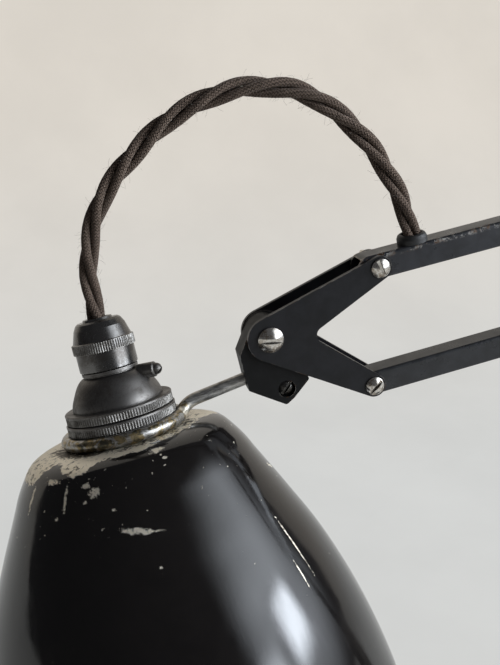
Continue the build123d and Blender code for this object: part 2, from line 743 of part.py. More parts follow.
def holder_cap():
    """The cord-grip cap: a knurled band, a tapered shoulder and a low lip round the cord."""
    low = cap_seat
    band_low = low + cap_band_bottom
    band_high = band_low + cap_band_height
    top = low + cap_height
    lip_top = top + cap_collar_height
    grip = flex_radius + flex_clearance
    profile = (
        (holder_chamber_radius, low), (cap_wall_radius - 0.4, low), (cap_wall_radius, low + 0.4),
        (cap_wall_radius, band_low), (cap_band_radius, band_low), (cap_band_radius, band_high),
        (cap_wall_radius, band_high + 0.3), (cap_shoulder_radius, top - cap_shoulder_drop),
        (cap_top_radius + 0.8, top - 0.6), (cap_top_radius, top), (cap_collar_radius, top),
        (cap_collar_radius - 0.3, lip_top), (grip, lip_top), (grip, lip_top - flex_tuck),
        (0, lip_top - flex_tuck), (0, band_high), (holder_chamber_radius, band_high),
    )
    return ring_of(profile, head_plane)


# ---------------------------------------------------------------- bulb
def bulb_cap():
    body = Pos(0, 0, -bulb_cap_top - bulb_cap_height / 2) * Cylinder(bulb_cap_radius, bulb_cap_height)
    pin_length = 2 * (barrel_radius - barrel_wall - running_clearance)
    pin = Rot(90, 0, 0) * Cylinder(bayonet_pin_radius, pin_length)
    body += Pos(0, 0, -bulb_cap_top - bayonet_pin_drop) * pin
    return head_plane.location * body


def bulb_form(inset):
    """The pear shape of the bulb, drawn in by inset, from the cap down."""
    top = -bulb_cap_top - bulb_cap_height
    throat = bulb_neck_radius - bulb_throat_step - inset
    end = -bulb_centre - bulb_radius + inset
    ball_radius = bulb_radius - inset
    neck = Spline(
        (throat, top), (bulb_neck_radius + bulb_neck_swell - inset, top - bulb_neck_length),
        (bulb_shoulder_radius - inset, bulb_shoulder_rise - bulb_centre), (ball_radius, -bulb_centre),
        tangents=((0.1, -1), (0, -1)),
    )
    ball = RadiusArc((ball_radius, -bulb_centre), (0, end), ball_radius)
    outline = make_face([neck, ball, Line((0, end), (0, top)), Line((0, top), (throat, top))])
    return revolve(Plane.XZ * outline, Axis.Z)


def bulb_glass():
    """A thin glass envelope that is open towards its cap."""
    return head_plane.location * (bulb_form(0.0) - bulb_form(bulb_wall))


# ---------------------------------------------------------------- flex
def corner_radii(points):
    """The largest arc for each corner of a route."""
    radii = []
    for before, here, after in zip(points, points[1:], points[2:]):
        run_in, run_out = here - before, after - here
        turn = run_in.get_angle(run_out)
        radii.append(0.45 * min(run_in.length, run_out.length) / tan(radians(turn) / 2))
    return radii


def flex_stretches():
    """The three stretches of the flex, cut in the middle of two of its straight runs."""
    start = holder_seat + head_z * (cap_seat + cap_height + cap_collar_height - flex_tuck)
    gate = grommet_plane()
    end = gate.origin + gate.z_dir * (grommet_height - flex_tuck)
    head, crown, arm = (
        [pivot_tilt + Vector(*place) for place in route]
        for route in (flex_route_head, flex_route_crown, flex_route_arm)
    )
    head = [start, start + head_z * flex_first_run] + head
    arm = arm + [end]
    radii = corner_radii(head + crown + arm)
    print("flex radii", [round(radius, 1) for radius in radii])
    low_seam, high_seam = (head[-1] + crown[0]) / 2, (crown[-1] + arm[0]) / 2
    first, second = len(head) - 1, len(head) + len(crown) - 1
    return (
        (head + [low_seam], radii[:first]),
        ([low_seam] + crown + [high_seam], radii[first:second]),
        ([high_seam] + arm, radii[second:]),
    )


def flex_tube(points, radii):
    path = FilletPolyline(*points, radius=radii)
    tube = sweep(Plane(origin=path @ 0, z_dir=path % 0) * Circle(flex_radius), path=path)
    share = tube.volume / (Circle(flex_radius).area * path.length)
    print("flex length", round(path.length, 2), "volume share", round(share, 4))
    return tube


# ---------------------------------------------------------------- assembly
def build_parts():
    """Every sub-part by its node name."""
    makers = (
        base_casting, base_felt, spindle, spindle_nut, swivel_bracket, lower_arm_tube, elbow_rivets,
        spring_crossbar, spring_lug, upper_bar, cord_grommet, lower_bar, link_bar, rocker_spring_pin,
        knuckle, clamp_screw, wire_fork, shade, holder_barrel, shade_ring, holder_ring_upper,
        holder_ring_lower, holder_dome, holder_cap, earth_post, earth_screw, bulb_cap, bulb_glass,
    )
    parts = {maker.__name__: maker() for maker in makers}
    for name, side in (("front", -1), ("rear", 1)):
        low = plate_inner if side > 0 else -plate_outer
        rocker_low = rocker_inner if side > 0 else -rocker_outer
        washer_low = plate_inner - running_clearance - washer_thickness
        parts[f"elbow_plate_{name}"] = elbow_plate(low)
        parts[f"rocker_plate_{name}"] = rocker_plate(rocker_low)
        parts[f"head_plate_{name}"] = head_plate(low)
        parts[f"spring_stud_{name}"] = spring_stud(side)
        parts[f"fibre_washer_{name}"] = fibre_washer(
            washer_low if side > 0 else -washer_low - washer_thickness)
        parts[f"balance_spring_{name}"] = spring_between(
            spring_anchor, crossbar_place, side * spring_lateral, spring_radius, spring_stud_radius,
            crossbar_radius)
    parts["link_spring"] = spring_between(
        pivot_horn, spring_lug_place, 0.0, link_spring_radius, rocker_pin_radius, rocker_pin_radius)
    small = (small_head_radius, small_head_height, bar_screw_radius, small_nut_width)
    base = (tilt_head_radius, tilt_head_height, base_bolt_radius, base_nut_width)
    tilt = (tilt_head_radius, tilt_head_height, tilt_screw_radius, tilt_nut_width)
    fasteners = (
        ("base_pivot", pivot_base, cheek_outer, base, 15.0),
        ("elbow_low", pivot_elbow_low, plate_outer, small, 70.0),
        ("elbow_high", pivot_elbow_high, plate_outer, small, -30.0),
        ("link_top", pivot_tail, plate_outer, small, 40.0),
        ("link_foot", pivot_rocker, rocker_outer, small, -60.0),
        ("upper_bar", pivot_head_high, plate_outer, small, 115.0),
        ("lower_bar", pivot_head_low, plate_outer, small, 45.0),
        ("tilt", pivot_tilt, plate_outer, tilt, 0.0),
    )
    for name, place, face, (head_radius, head_height, shank, nut_width), angle in fasteners:
        pair = screw_across(place, -face, face, head_radius, head_height, shank, nut_width, angle)
        parts[f"{name}_screw"], parts[f"{name}_nut"] = pair
    for name, (points, radii) in zip(("flex_head", "flex_crown", "flex_arm"), flex_stretches()):
        parts[name] = flex_tube(points, radii)
    return parts


os.makedirs("parts", exist_ok=True)
for node, shape in build_parts().items():
    export_step(shape, f"parts/{node}.step")
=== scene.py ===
"""Dresses the architect desk lamp: its finishes, twisted flex, springs, knurls and worn enamel shade.

Metres unless a class says millimetres, in the lamp's own frame: the origin is the centre of the base's
underside, +Z is up, the arms lie in the XZ plane and the front of the lamp faces -Y.
"""
import logging
import math
from dataclasses import dataclass, replace
from enum import Enum

import bpy
from bpy.types import ID, Material, Mesh, Node, NodeSocket, NodeTree, Object
from mathutils import Matrix, Vector, geometry, noise
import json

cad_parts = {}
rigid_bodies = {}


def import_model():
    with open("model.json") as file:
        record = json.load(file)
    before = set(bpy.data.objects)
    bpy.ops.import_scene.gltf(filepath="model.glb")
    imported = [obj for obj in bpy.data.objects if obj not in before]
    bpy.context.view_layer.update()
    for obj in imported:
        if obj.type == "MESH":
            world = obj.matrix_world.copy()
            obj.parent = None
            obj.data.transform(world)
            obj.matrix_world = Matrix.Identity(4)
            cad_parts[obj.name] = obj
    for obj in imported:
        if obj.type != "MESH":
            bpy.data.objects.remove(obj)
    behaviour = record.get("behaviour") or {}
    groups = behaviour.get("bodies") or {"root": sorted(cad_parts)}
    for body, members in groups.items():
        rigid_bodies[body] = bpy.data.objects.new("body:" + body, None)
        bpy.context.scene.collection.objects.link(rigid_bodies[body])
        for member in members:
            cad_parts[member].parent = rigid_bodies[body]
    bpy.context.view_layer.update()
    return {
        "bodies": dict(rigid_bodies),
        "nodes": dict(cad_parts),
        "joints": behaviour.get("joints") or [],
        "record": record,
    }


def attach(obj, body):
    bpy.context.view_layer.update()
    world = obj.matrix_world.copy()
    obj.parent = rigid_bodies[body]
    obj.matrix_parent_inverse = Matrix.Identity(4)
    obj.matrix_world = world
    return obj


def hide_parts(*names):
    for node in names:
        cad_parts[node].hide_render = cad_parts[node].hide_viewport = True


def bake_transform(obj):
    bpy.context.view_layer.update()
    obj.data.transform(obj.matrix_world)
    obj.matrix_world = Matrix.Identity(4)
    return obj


LOG = logging.getLogger("desk_lamp")
MM = 0.001
ORIGIN = (0.0, 0.0, 0.0)
SPLINE_STEPS = 24


# ---------------- choices
class Side(Enum):
    """Which side of the arms a piece is on."""

    FRONT = -1
    REAR = 1


class Body(Enum):
    """The moving bodies of the lamp that new pieces ride on."""

    BRACKET = "bracket"
    LOWER_ARM = "lower_arm"
    UPPER_ARM = "upper_arm"
    ROCKER = "rocker"
    HEAD_PLATES = "head_plates"
    KNUCKLE = "knuckle"
    SHADE = "shade"


# ---------------- node trees
class Value:
    """An output in a node tree, on which sums are written as on plain numbers."""

    def __init__(self, tree: "Tree", socket: NodeSocket) -> None:
        """Wraps an output socket of a tree."""
        self.tree, self.socket = tree, socket

    def __add__(self, other: object) -> "Value":
        """The sum."""
        return self.tree.math("ADD", self, other)

    def __sub__(self, other: object) -> "Value":
        """The difference."""
        return self.tree.math("SUBTRACT", self, other)

    def __mul__(self, other: object) -> "Value":
        """The product."""
        return self.tree.math("MULTIPLY", self, other)

    def __truediv__(self, other: object) -> "Value":
        """The quotient."""
        return self.tree.math("DIVIDE", self, other)

    def __abs__(self) -> "Value":
        """The value without its sign."""
        return self.tree.math("ABSOLUTE", self)


class Tree:
    """A node tree, written as short calls."""

    def __init__(self, tree: NodeTree) -> None:
        """Wraps a node tree."""
        self.tree = tree

    def feed(self, socket: NodeSocket, value: object) -> None:
        """Links a socket to another, or sets its constant value.

        Args:
            socket: the input to feed.
            value: a value or socket to link from, a number, or a tuple.
        """
        if isinstance(value, Value):
            value = value.socket
        if isinstance(value, NodeSocket):
            self.tree.links.new(value, socket)
        elif socket.type == "RGBA":
            socket.default_value = (*value, 1.0)
        else:
            socket.default_value = value

    def add(self, kind: str, inputs: dict, **settings: object) -> Node:
        """Adds a node.

        Args:
            kind: the node's type name.
            inputs: what feeds its inputs, by name or index.
            settings: attributes of the node itself.

        Returns:
            The new node.
        """
        node = self.tree.nodes.new(kind)
        for name, value in settings.items():
            setattr(node, name, value)
        for key, value in inputs.items():
            self.feed(node.inputs[key], value)
        return node

    def read(self, kind: str, inputs: dict, output: object = 0, **settings: object) -> Value:
        """Adds a node and takes one of its outputs, by name or index."""
        return Value(self, self.add(kind, inputs, **settings).outputs[output])

    def math(self, operation: str, first: object, second: object = 0.0) -> Value:
        """One sum on numbers."""
        return self.read("ShaderNodeMath", {0: first, 1: second}, operation=operation)

    def parts(self, vector: object) -> tuple:
        """The three parts of a vector."""
        return tuple(Value(self, part) for part in self.add("ShaderNodeSeparateXYZ", {0: vector}).outputs)

    def fade(self, value: object, low: float, high: float, start: float = 0.0, end: float = 1.0) -> Value:
        """A smooth ramp of a value: from start where it is low to end where it is high."""
        inputs = {"Value": value, "From Min": low, "From Max": high, "To Min": start, "To Max": end}
        return self.read("ShaderNodeMapRange", inputs, interpolation_type="SMOOTHSTEP")

    def seen(self) -> tuple:
        """Whether a ray comes from the camera, straight or through glass, and whether it is a reflection.

        Returns:
            One value for the camera and one for reflections.
        """
        path = self.add("ShaderNodeLightPath", {}).outputs
        direct = self.math("MAXIMUM", path["Is Camera Ray"], path["Is Transmission Ray"])
        return direct, Value(self, path["Is Glossy Ray"])


class Graph(Tree):
    """A material's node tree."""

    def __init__(self, name: str) -> None:
        """Starts an empty material.

        Args:
            name: the material's name.
        """
        self.material = bpy.data.materials.new(name)
        self.material.use_nodes = True
        super().__init__(self.material.node_tree)
        self.tree.nodes.clear()
        self.output = self.add("ShaderNodeOutputMaterial", {})

    def place(self) -> Value:
        """The point on the piece, in the lamp's frame."""
        return self.read("ShaderNodeTexCoord", {}, "Object")

    def strand_uv(self) -> Value:
        """The point on a strand: its distance along in millimetres, and its share of a turn round."""
        return self.read("ShaderNodeTexCoord", {}, "UV")

    def shifted(self, vector: object, origin: tuple = ORIGIN, angles: tuple = ORIGIN,
                scale: tuple = (1, 1, 1)) -> Value:
        """A vector seen from another origin, turned by angles in radians, in units of a given scale."""
        inputs = {"Vector": vector, "Location": origin, "Rotation": angles, "Scale": scale}
        return self.read("ShaderNodeMapping", inputs, vector_type="TEXTURE")

    def within(self, frame: Matrix, unit: float = 1.0) -> Value:
        """The point on the piece in another frame, in units of a given size."""
        return self.shifted(self.place(), tuple(frame.translation), tuple(frame.to_euler()), (unit,) * 3)

    def noise(self, vector: object, size: float, detail: float = 4.0, roughness: float = 0.55,
              twist: float = 0.0) -> Value:
        """Cloudy noise from 0 to 1; detail and roughness set its finer layers, and twist pulls it about."""
        return self.read("ShaderNodeTexNoise", {"Vector": vector, "Scale": 1.0 / size, "Detail": detail,
                                                "Roughness": roughness, "Distortion": twist}, "Fac")

    def tint(self, share: object, first: object, second: object) -> Value:
        """A colour between two colours."""
        return self.read("ShaderNodeMix", {0: share, 6: first, 7: second}, 2, data_type="RGBA")

    def worn_edge(self, radius: float) -> Value:
        """How close a point is to a sharp outer edge, from 0 on a flat to 1 on the edge.

        Args:
            radius: how far from the edge it reaches.

        Returns:
            The share.
        """
        rounded = self.read("ShaderNodeBevel", {"Radius": radius}, samples=6)
        flat = self.read("ShaderNodeNewGeometry", {}, "True Normal")
        alike = self.read("ShaderNodeVectorMath", {0: rounded, 1: flat}, "Value", operation="DOT_PRODUCT")
        return self.fade(alike, 0.995, 0.86)

    def hollow(self, reach: float) -> Value:
        """How shut in a point is, from 0 in the open to 1 deep in a slot or a corner."""
        clear = self.read("ShaderNodeAmbientOcclusion", {"Distance": reach}, "AO", samples=6, only_local=True)
        return self.fade(clear, 0.80, 0.38)

    def lobe(self, value: Value, centre: float, half_width: float, size: float) -> Value:
        """A smooth hump of a given size about one value."""
        return self.fade(abs(value - centre), half_width, 0.0, 0.0, size)

    def bump(self, height: Value, depth: float, strength: float = 1.0, under: Value | None = None) -> Value:
        """A normal bumped by a relief from 0 to 1, of a given depth in metres, over another normal if any."""
        inputs = {"Height": height, "Distance": depth, "Strength": strength}
        return self.read("ShaderNodeBump", inputs | ({"Normal": under} if under else {}))

    def finish(self, **inputs: object) -> Material:
        """Ends the graph in a surface shader; its inputs have an underscore for each space."""
        named = {name.replace("_", " "): value for name, value in inputs.items()}
        self.feed(self.output.inputs["Surface"], self.read("ShaderNodeBsdfPrincipled", named))
        return self.material


# ---------------- finishes
@dataclass(frozen=True)
class Chip:
    """A place on the shade where the enamel has come off, as an ellipse on its wall."""

    azimuth: float
    reach: float
    width: float
    height: float
    lean: float = 0.0


@dataclass(frozen=True)
class ShadeEnamel:
    """Gloss black enamel on aluminium, worn to bare metal round the top, with chips and scratches.

    Places on it are an azimuth in degrees and a reach: how far down from the fork's loop, in millimetres.
    """

    head: Matrix
    top: float
    wall: tuple
    chips: tuple
    loop_edge: float = 24.0
    shoulder_edge: float = 40.0
    top_share: float = 0.8
    worn_reach: float = 6.6
    black: tuple = (0.0065, 0.0055, 0.0052)
    rubbed: tuple = (0.0095, 0.008, 0.0075)
    bare: tuple = (0.95, 0.88, 0.74)
    dark_metal: tuple = (0.085, 0.068, 0.048)

    def reach_of(self, radius: float, depth: float) -> float:
        """The reach of a point of the wall."""
        return depth + self.top_share * (min(radius, self.shoulder_edge) - self.loop_edge)

    def chip_mask(self, graph: Graph, azimuth: Value, reach: Value, ragged: Value, chip: Chip) -> Value:
        """Where one chip is.

        Args:
            graph: the material's graph.
            azimuth: the angle round the shade, in degrees.
            reach: the distance down the wall.
            ragged: noise that breaks up the chip's outline.
            chip: the chip.

        Returns:
            1 inside the chip and 0 outside it.
        """
        radius = min(self.wall, key=lambda point: abs(self.reach_of(*point) - chip.reach))[0]
        across, along = (azimuth - chip.azimuth) * math.radians(radius), reach - chip.reach
        cosine, sine = math.cos(math.radians(chip.lean)), math.sin(math.radians(chip.lean))
        u = graph.math("POWER", (across * cosine + along * sine) / (chip.width / 2), 2.0)
        v = graph.math("POWER", (along * cosine - across * sine) / (chip.height / 2), 2.0)
        return graph.fade(u + v + ragged, 1.06, 0.98)

    def worn_limit(self, graph: Graph, azimuth: Value) -> Value:
        """How far down the wall the bare metal comes at each azimuth.

        Args:
            graph: the material's graph.
            azimuth: the angle round the shade, in degrees.

        Returns:
            The reach of the limit.
        """
        limit = graph.lobe(azimuth, -120.0, 19.0, 7.6) + self.worn_reach
        limit += graph.fade(abs(azimuth), 140.0, 152.0, 0.0, 11.0)
        limit -= graph.fade(azimuth, -79.0, -71.0, 0.0, 3.4)
        return limit + graph.lobe(azimuth, 12.0, 26.0, 8.0)

    def material(self) -> Material:
        """The shade's material.

        Returns:
            The material.
        """
        graph = Graph("shade_enamel")
        local = graph.within(self.head, MM)
        x, y, z = graph.parts(local)
        drop = z * -1.0 - self.top
        azimuth = graph.math("DEGREES", graph.math("ARCTAN2", y, x))
        radius = graph.math("SQRT", x * x + y * y)
        reach = drop + (graph.math("MINIMUM", radius, self.shoulder_edge) - self.loop_edge) * self.top_share
        mouth = self.wall[-1][1]

        coarse = graph.noise(local, 11.0, 7.0, 0.62, 0.4)
        fine = graph.noise(local, 1.6, 6.0, 0.6)
        broken = (graph.noise(local, 4.2, 8.0, 0.74, 0.6) - 0.5) * 10.0
        ragged = (graph.noise(local, 1.2, 8.0, 0.85) - 0.5) * 12.0
        worn = graph.fade(self.worn_limit(graph, azimuth) - (reach + broken), 0.0, 0.22)
        speck = graph.fade(fine + graph.fade(reach, 70.0, 16.0) * 0.05, 0.738, 0.752)
        rim = graph.fade(drop + coarse * 2.0, mouth + 1.0, mouth + 2.0)
        masks = [self.chip_mask(graph, azimuth, reach, ragged, chip) for chip in self.chips]
        chipped = worn
        for mask in (speck, *masks, rim):
            chipped = graph.math("MAXIMUM", chipped, mask)

        # the bare metal is mottled, and darker next to the loop and towards the far left side
        near_loop = graph.fade(reach, 4.5, 0.0, 0.0, 0.11)
        far_side = graph.fade(azimuth, -96.0, -128.0, 0.0, 0.06)
        metal_tone = graph.noise(local, 2.8, 9.0, 0.8, 1.0) - (near_loop + far_side)
        metal = graph.tint(graph.fade(metal_tone, 0.365, 0.405), self.dark_metal, self.bare)
        enamel = graph.tint(graph.fade(coarse, 0.3, 0.7), self.black, self.rubbed)
        smear = graph.noise(graph.shifted(local, scale=(1.0, 1.0, 9.0)), 6.0, 6.0, 0.65)
        gloss = graph.fade(smear, 0.3, 0.75, 0.07, 0.17)
        dents = graph.bump(graph.noise(local, 34.0, 2.0, 0.4), 0.0006, 0.4)
        dents = graph.bump(smear, 0.00006, 0.5, dents)
        return graph.finish(
            Base_Color=graph.tint(chipped, enamel, metal), Metallic=chipped * 0.75,
            Roughness=graph.math("MAXIMUM", gloss, graph.fade(chipped, 0.0, 1.0, 0.0, 0.54)),
            Normal=graph.bump(chipped * -0.8 + fine * 0.03, 0.00012, 0.9, dents), Specular_IOR_Level=0.5,
        )


@dataclass(frozen=True)
class WornPaint:
    """Black paint that has come off along the sharp edges and in small chips."""

    name: str
    black: tuple
    bare: tuple = (0.30, 0.29, 0.27)
    rust: tuple = (0.10, 0.055, 0.03)
    gloss: float = 0.34
    wear: float = 0.5
    edge: float = 0.0005
    chips: float = 0.45
    shine: float = 0.5
    dust: float = 2.1
    bar: Matrix | None = None
    bar_half: float = 0.00475

    def corner_chips(self, graph: Graph) -> Value:
        """Chips along the two upper corners of the bar that the paint is on.

        Args:
            graph: the material's graph.

        Returns:
            1 in a chip and 0 elsewhere.
        """
        local = graph.within(self.bar)
        _, y, z = graph.parts(local)
        beside = graph.fade(abs(y), 0.55 * self.bar_half, 0.85 * self.bar_half)
        above = graph.fade(z, 0.50 * self.bar_half, 0.80 * self.bar_half)
        return beside * above * graph.fade(graph.noise(local, 0.0040, 7.0, 0.7, 0.6), 0.520, 0.535)

    def material(self) -> Material:
        """The paint's material.

        Returns:
            The material.
        """
        graph = Graph(self.name)
        place = graph.place()
        patchy = graph.noise(place, 0.006, 6.0, 0.65, 0.3)
        fine = graph.noise(place, 0.0011, 5.0, 0.6)
        rubbed = graph.fade(patchy, 0.62 - 0.22 * self.wear, 0.72 - 0.2 * self.wear)
        spots = graph.fade(fine + patchy * 0.3, 0.985 - 0.06 * self.chips, 1.0 - 0.06 * self.chips)
        if self.bar is not None:
            spots += self.corner_chips(graph)
        worn = graph.math("MINIMUM", graph.worn_edge(self.edge) * rubbed + spots, 1.0)
        metal = graph.tint(graph.fade(graph.noise(place, 0.0025, 5.0), 0.38, 0.6), self.rust, self.bare)
        grey = tuple(self.dust * part for part in self.black)
        dusty = graph.tint(graph.fade(patchy, 0.3, 0.75), self.black, grey)
        dull = graph.noise(place, 0.009, 6.0, 0.7)
        rough = graph.fade(dull, 0.25, 0.8, self.gloss - 0.07, self.gloss + 0.12)
        return graph.finish(
            Base_Color=graph.tint(worn, dusty, metal), Metallic=worn * 0.8, Roughness=rough + worn * 0.05,
            Normal=graph.bump(fine * 0.25 + worn * -0.9, 0.00006, 0.8), Specular_IOR_Level=self.shine,
        )


@dataclass(frozen=True)
class AgedMetal:
    """Plated or plain metal with fine scratches and clouds of darker tarnish, and painted shade in its slots
    and corners.
    """

    name: str
    bright: tuple
    tarnish: tuple
    amount: float = 0.5
    rough: float = 0.22
    grain: float = 0.0008
    cloud: float = 0.004
    edge_colour: tuple = (0.75, 0.73, 0.68)
    edge_share: float = 0.3
    edge_width: float = 0.00035
    slot_depth: float = 0.0012
    slot_shade: float = 0.12

    def material(self) -> Material:
        """The metal's material.

        Returns:
            The material.
        """
        graph = Graph(self.name)
        place = graph.place()
        clouds = graph.noise(place, self.cloud, 7.0, 0.65, 0.6)
        lines = graph.noise(place, self.grain, 5.0, 0.7)
        mixed = clouds * 0.7 + lines * 0.3
        shift = 0.25 * (self.amount - 0.5)
        colour = graph.tint(graph.fade(mixed, 0.40 + shift, 0.60 + shift), self.tarnish, self.bright)
        colour = graph.tint(graph.worn_edge(self.edge_width) * self.edge_share, colour, self.edge_colour)
        # painted shade: slots, corners and the gaps between ridges or coils are darkened to a dark tarnish
        # colour
        metal_tone = tuple(self.slot_shade * part for part in self.tarnish)
        return graph.finish(
            Base_Color=graph.tint(graph.hollow(self.slot_depth), colour, metal_tone), Metallic=0.96,
            Roughness=graph.fade(mixed, 0.3, 0.7, self.rough + 0.22, self.rough),
            Normal=graph.bump(mixed, 0.00005, 0.55),
        )


@dataclass(frozen=True)
class ForkWire:
    """Drawn nickel wire, its plating worn to brass in patches on the loop, with a brazed joint beside it that
    carries a painted highlight.

    Its loop's edge and its brazed place are in millimetres, in the shade's frame.
    """

    head: Matrix
    nickel: tuple = (0.66, 0.65, 0.62)
    dull: tuple = (0.21, 0.20, 0.185)
    brass: tuple = (0.36, 0.27, 0.13)
    olive: tuple = (0.075, 0.068, 0.042)
    braze_glint: tuple = (0.80, 0.76, 0.66)
    loop_edge: float = 25.0
    braze_place: tuple = (22.5, -4.5, -9.0)
    drawn: tuple = (14.0, 1.0, 1.0)

    def material(self) -> Material:
        """The wire's material.

        Returns:
            The material.
        """
        graph = Graph("fork_wire")
        local = graph.within(self.head, MM)
        x, y, _ = graph.parts(local)
        on_loop = graph.fade(graph.math("SQRT", x * x + y * y), self.loop_edge + 2.0, self.loop_edge - 1.5)
        lines = graph.noise(graph.shifted(local, scale=self.drawn), 0.42, 5.0, 0.7)
        clouds = graph.noise(local, 4.5, 6.0, 0.65, 0.8)
        nickel = graph.tint(graph.fade(lines * 0.6 + clouds * 0.4, 0.38, 0.60), self.dull, self.nickel)
        patches = graph.noise(local, 2.2, 6.0, 0.7, 0.6)
        warm = graph.tint(graph.fade(patches, 0.42, 0.60), self.olive, self.brass)
        worn = graph.fade(clouds, 0.44, 0.54) * (on_loop * 0.83 + 0.12)
        # painted highlight: a pale bright spot round the brazed joint
        both = {0: local, 1: self.braze_place}
        away = graph.read("ShaderNodeVectorMath", both, "Value", operation="DISTANCE")
        bright = graph.fade(away + clouds * 2.0, 3.6, 2.6)
        return graph.finish(
            Base_Color=graph.tint(bright, graph.tint(worn, nickel, warm), self.braze_glint), Metallic=0.9,
            Roughness=graph.fade(lines - on_loop * 0.12, 0.3, 0.7, 0.33, 0.52),
            Normal=graph.bump(lines * 0.5 + clouds * 0.5, 0.00006, 0.6),
        )


@dataclass(frozen=True)
class CottonBraid:
    """Brown cotton braid over one core of the twisted flex, woven from slanted pairs of threads, with painted
    shade between the threads.

    A pick is the length of one crossing of the threads, in millimetres.
    """

    dark: tuple = (0.018, 0.0105, 0.0070)
    light: tuple = (0.205, 0.150, 0.115)
    sheen: tuple = (0.62, 0.52, 0.44)
    pick: float = 1.15
    carriers: float = 8.0

    def material(self) -> Material:
        """The braid's material.

        Returns:
            The material.
        """
        graph = Graph("flex_braid")
        along, round_share, _ = graph.parts(graph.strand_uv())
        step, turn = along / self.pick, round_share * self.carriers
        threads = (step + turn, step - turn)
        up, down = (abs(graph.math("SINE", thread * math.pi)) for thread in threads)
        rising, falling = (graph.math("FLOOR", thread) for thread in threads)
        over = graph.math("FLOORED_MODULO", rising + falling, 2.0)
        relief = up * over + down * graph.math("SUBTRACT", 1.0, over)
        fuzz = graph.noise(graph.place(), 0.0006, 4.0, 0.7)
        faded = graph.noise(graph.place(), 0.007, 4.0, 0.6)
        # painted shade: the colour follows the weave's relief, lighter on each thread's crown and darker
        # between threads, with random fading on top
        shade = relief * 0.55 + fuzz * 0.5 + (faded - 0.5) * 0.35
        return graph.finish(
            Base_Color=graph.tint(graph.fade(shade, 0.18, 0.98), self.dark, self.light), Roughness=0.92,
            Normal=graph.bump(relief * 0.8 + fuzz * 0.35, 0.00035), Sheen_Weight=0.35, Sheen_Roughness=0.45,
            Sheen_Tint=self.sheen, Specular_IOR_Level=0.25,
        )


@dataclass(frozen=True)
class SoftMatter:
    """Rubber, felt or fibre: a dull surface with small clouds of colour."""

    name: str
    first: tuple
    second: tuple
    rough: float
    cloud: float
    depth: float
    sheen: float = 0.0

    def material(self) -> Material:
        """The soft material.

        Returns:
            The material.
        """
        graph = Graph(self.name)
        place = graph.place()
        clouds = graph.noise(place, self.cloud, 6.0, 0.7)
        fine = graph.noise(place, self.cloud / 7.0, 4.0, 0.6)
        mixed = clouds * 0.6 + fine * 0.4
        return graph.finish(
            Base_Color=graph.tint(graph.fade(mixed, 0.35, 0.65), self.first, self.second),
            Roughness=graph.fade(mixed, 0.3, 0.7, self.rough - 0.08, self.rough + 0.05),
            Normal=graph.bump(mixed, self.depth, 0.8), Sheen_Weight=self.sheen,
        )


@dataclass(frozen=True)
class PearlGlass:
    """The thin white-coated glass of the bulb."""

    thin: tuple = (0.86, 0.86, 0.83)
    thick: tuple = (0.93, 0.93, 0.91)

    def material(self) -> Material:
        """The glass.

        Returns:
            The material.
        """
        graph = Graph("bulb_pearl_glass")
        place = graph.place()
        clouds = graph.noise(place, 0.012, 4.0, 0.5)
        return graph.finish(
            Base_Color=graph.tint(clouds, self.thin, self.thick),
            Roughness=graph.fade(clouds, 0.3, 0.7, 0.16, 0.26), Transmission_Weight=0.25,
            Normal=graph.bump(graph.noise(place, 0.02, 2.0), 0.0002, 0.3),
        )


# ---------------- mesh helpers
def placed(name: str, data: ID) -> Object:
    """A new object in the scene for a mesh, a curve, a lamp or a camera.

    Args:
        name: the object's name.
        data: what it holds.

    Returns:
        The object.
    """
    piece = bpy.data.objects.new(name, data)
    bpy.context.scene.collection.objects.link(piece)
    return piece


class Shell:
    """A mesh under construction: points, faces and one value pair per face corner."""

    def __init__(self, name: str) -> None:
        """Starts an empty shell.

        Args:
            name: the piece's name.
        """
        self.name = name
        self.points: list[Vector] = []
        self.faces: list[tuple] = []
        self.corners: list[tuple] = []

    def add_ring(self, points: list) -> list:
        """Adds points and returns their numbers.

        Args:
            points: the points.

        Returns:
            Their numbers.
        """
        start = len(self.points)
        self.points.extend(points)
        return list(range(start, len(self.points)))

    def bridge(self, low: list, high: list, closed: bool = True, uv: tuple | None = None) -> None:
        """Joins two rings of the same count with quads.

        Args:
            low: the first ring's point numbers.
            high: the second ring's.
            closed: whether the rings close on themselves.
            uv: the along values of the two rings, if corners carry any.
        """
        count = len(low)
        for index in range(count if closed else count - 1):
            after = (index + 1) % count
            self.faces.append((low[index], low[after], high[after], high[index]))
            if uv is not None:
                first, last = index / count, (index + 1) / count
                self.corners.extend(((uv[0], first), (uv[0], last), (uv[1], last), (uv[1], first)))

    def cap(self, ring: list, centre: Vector, flip: bool = False) -> None:
        """Closes a ring with a fan of triangles about a centre point.

        Args:
            ring: the ring's point numbers.
            centre: the centre point.
            flip: whether the fan faces the other way.
        """
        middle = self.add_ring([centre])[0]
        for index, here in enumerate(ring):
            after = ring[(index + 1) % len(ring)]
            self.faces.append((after, here, middle) if flip else (here, after, middle))
            if self.corners:
                self.corners.extend(((0.0, 0.0), (0.0, 0.0), (0.0, 0.0)))

    def make(self, material: Material, smooth: bool = True) -> Object:
        """Makes the object.

        Args:
            material: its only material.
            smooth: whether its faces are shaded smooth.

        Returns:
            The object, at the origin.
        """
        mesh = bpy.data.meshes.new(self.name)
        mesh.from_pydata(self.points, [], self.faces)
        mesh.materials.append(material)
        if self.corners:
            layer = mesh.uv_layers.new(name="strand")
            for corner, value in zip(layer.data, self.corners):
                corner.uv = value
        mesh.polygons.foreach_set("use_smooth", [smooth] * len(mesh.polygons))
        mesh.update()
        return placed(self.name, mesh)


def circle_points(centre: Vector, first: Vector, second: Vector, radius: float, count: int) -> list:
    """The points of a circle, from the first unit direction towards the second."""
    turns = (2 * math.pi * index / count for index in range(count))
    return [centre + radius * (math.cos(turn) * first + math.sin(turn) * second) for turn in turns]


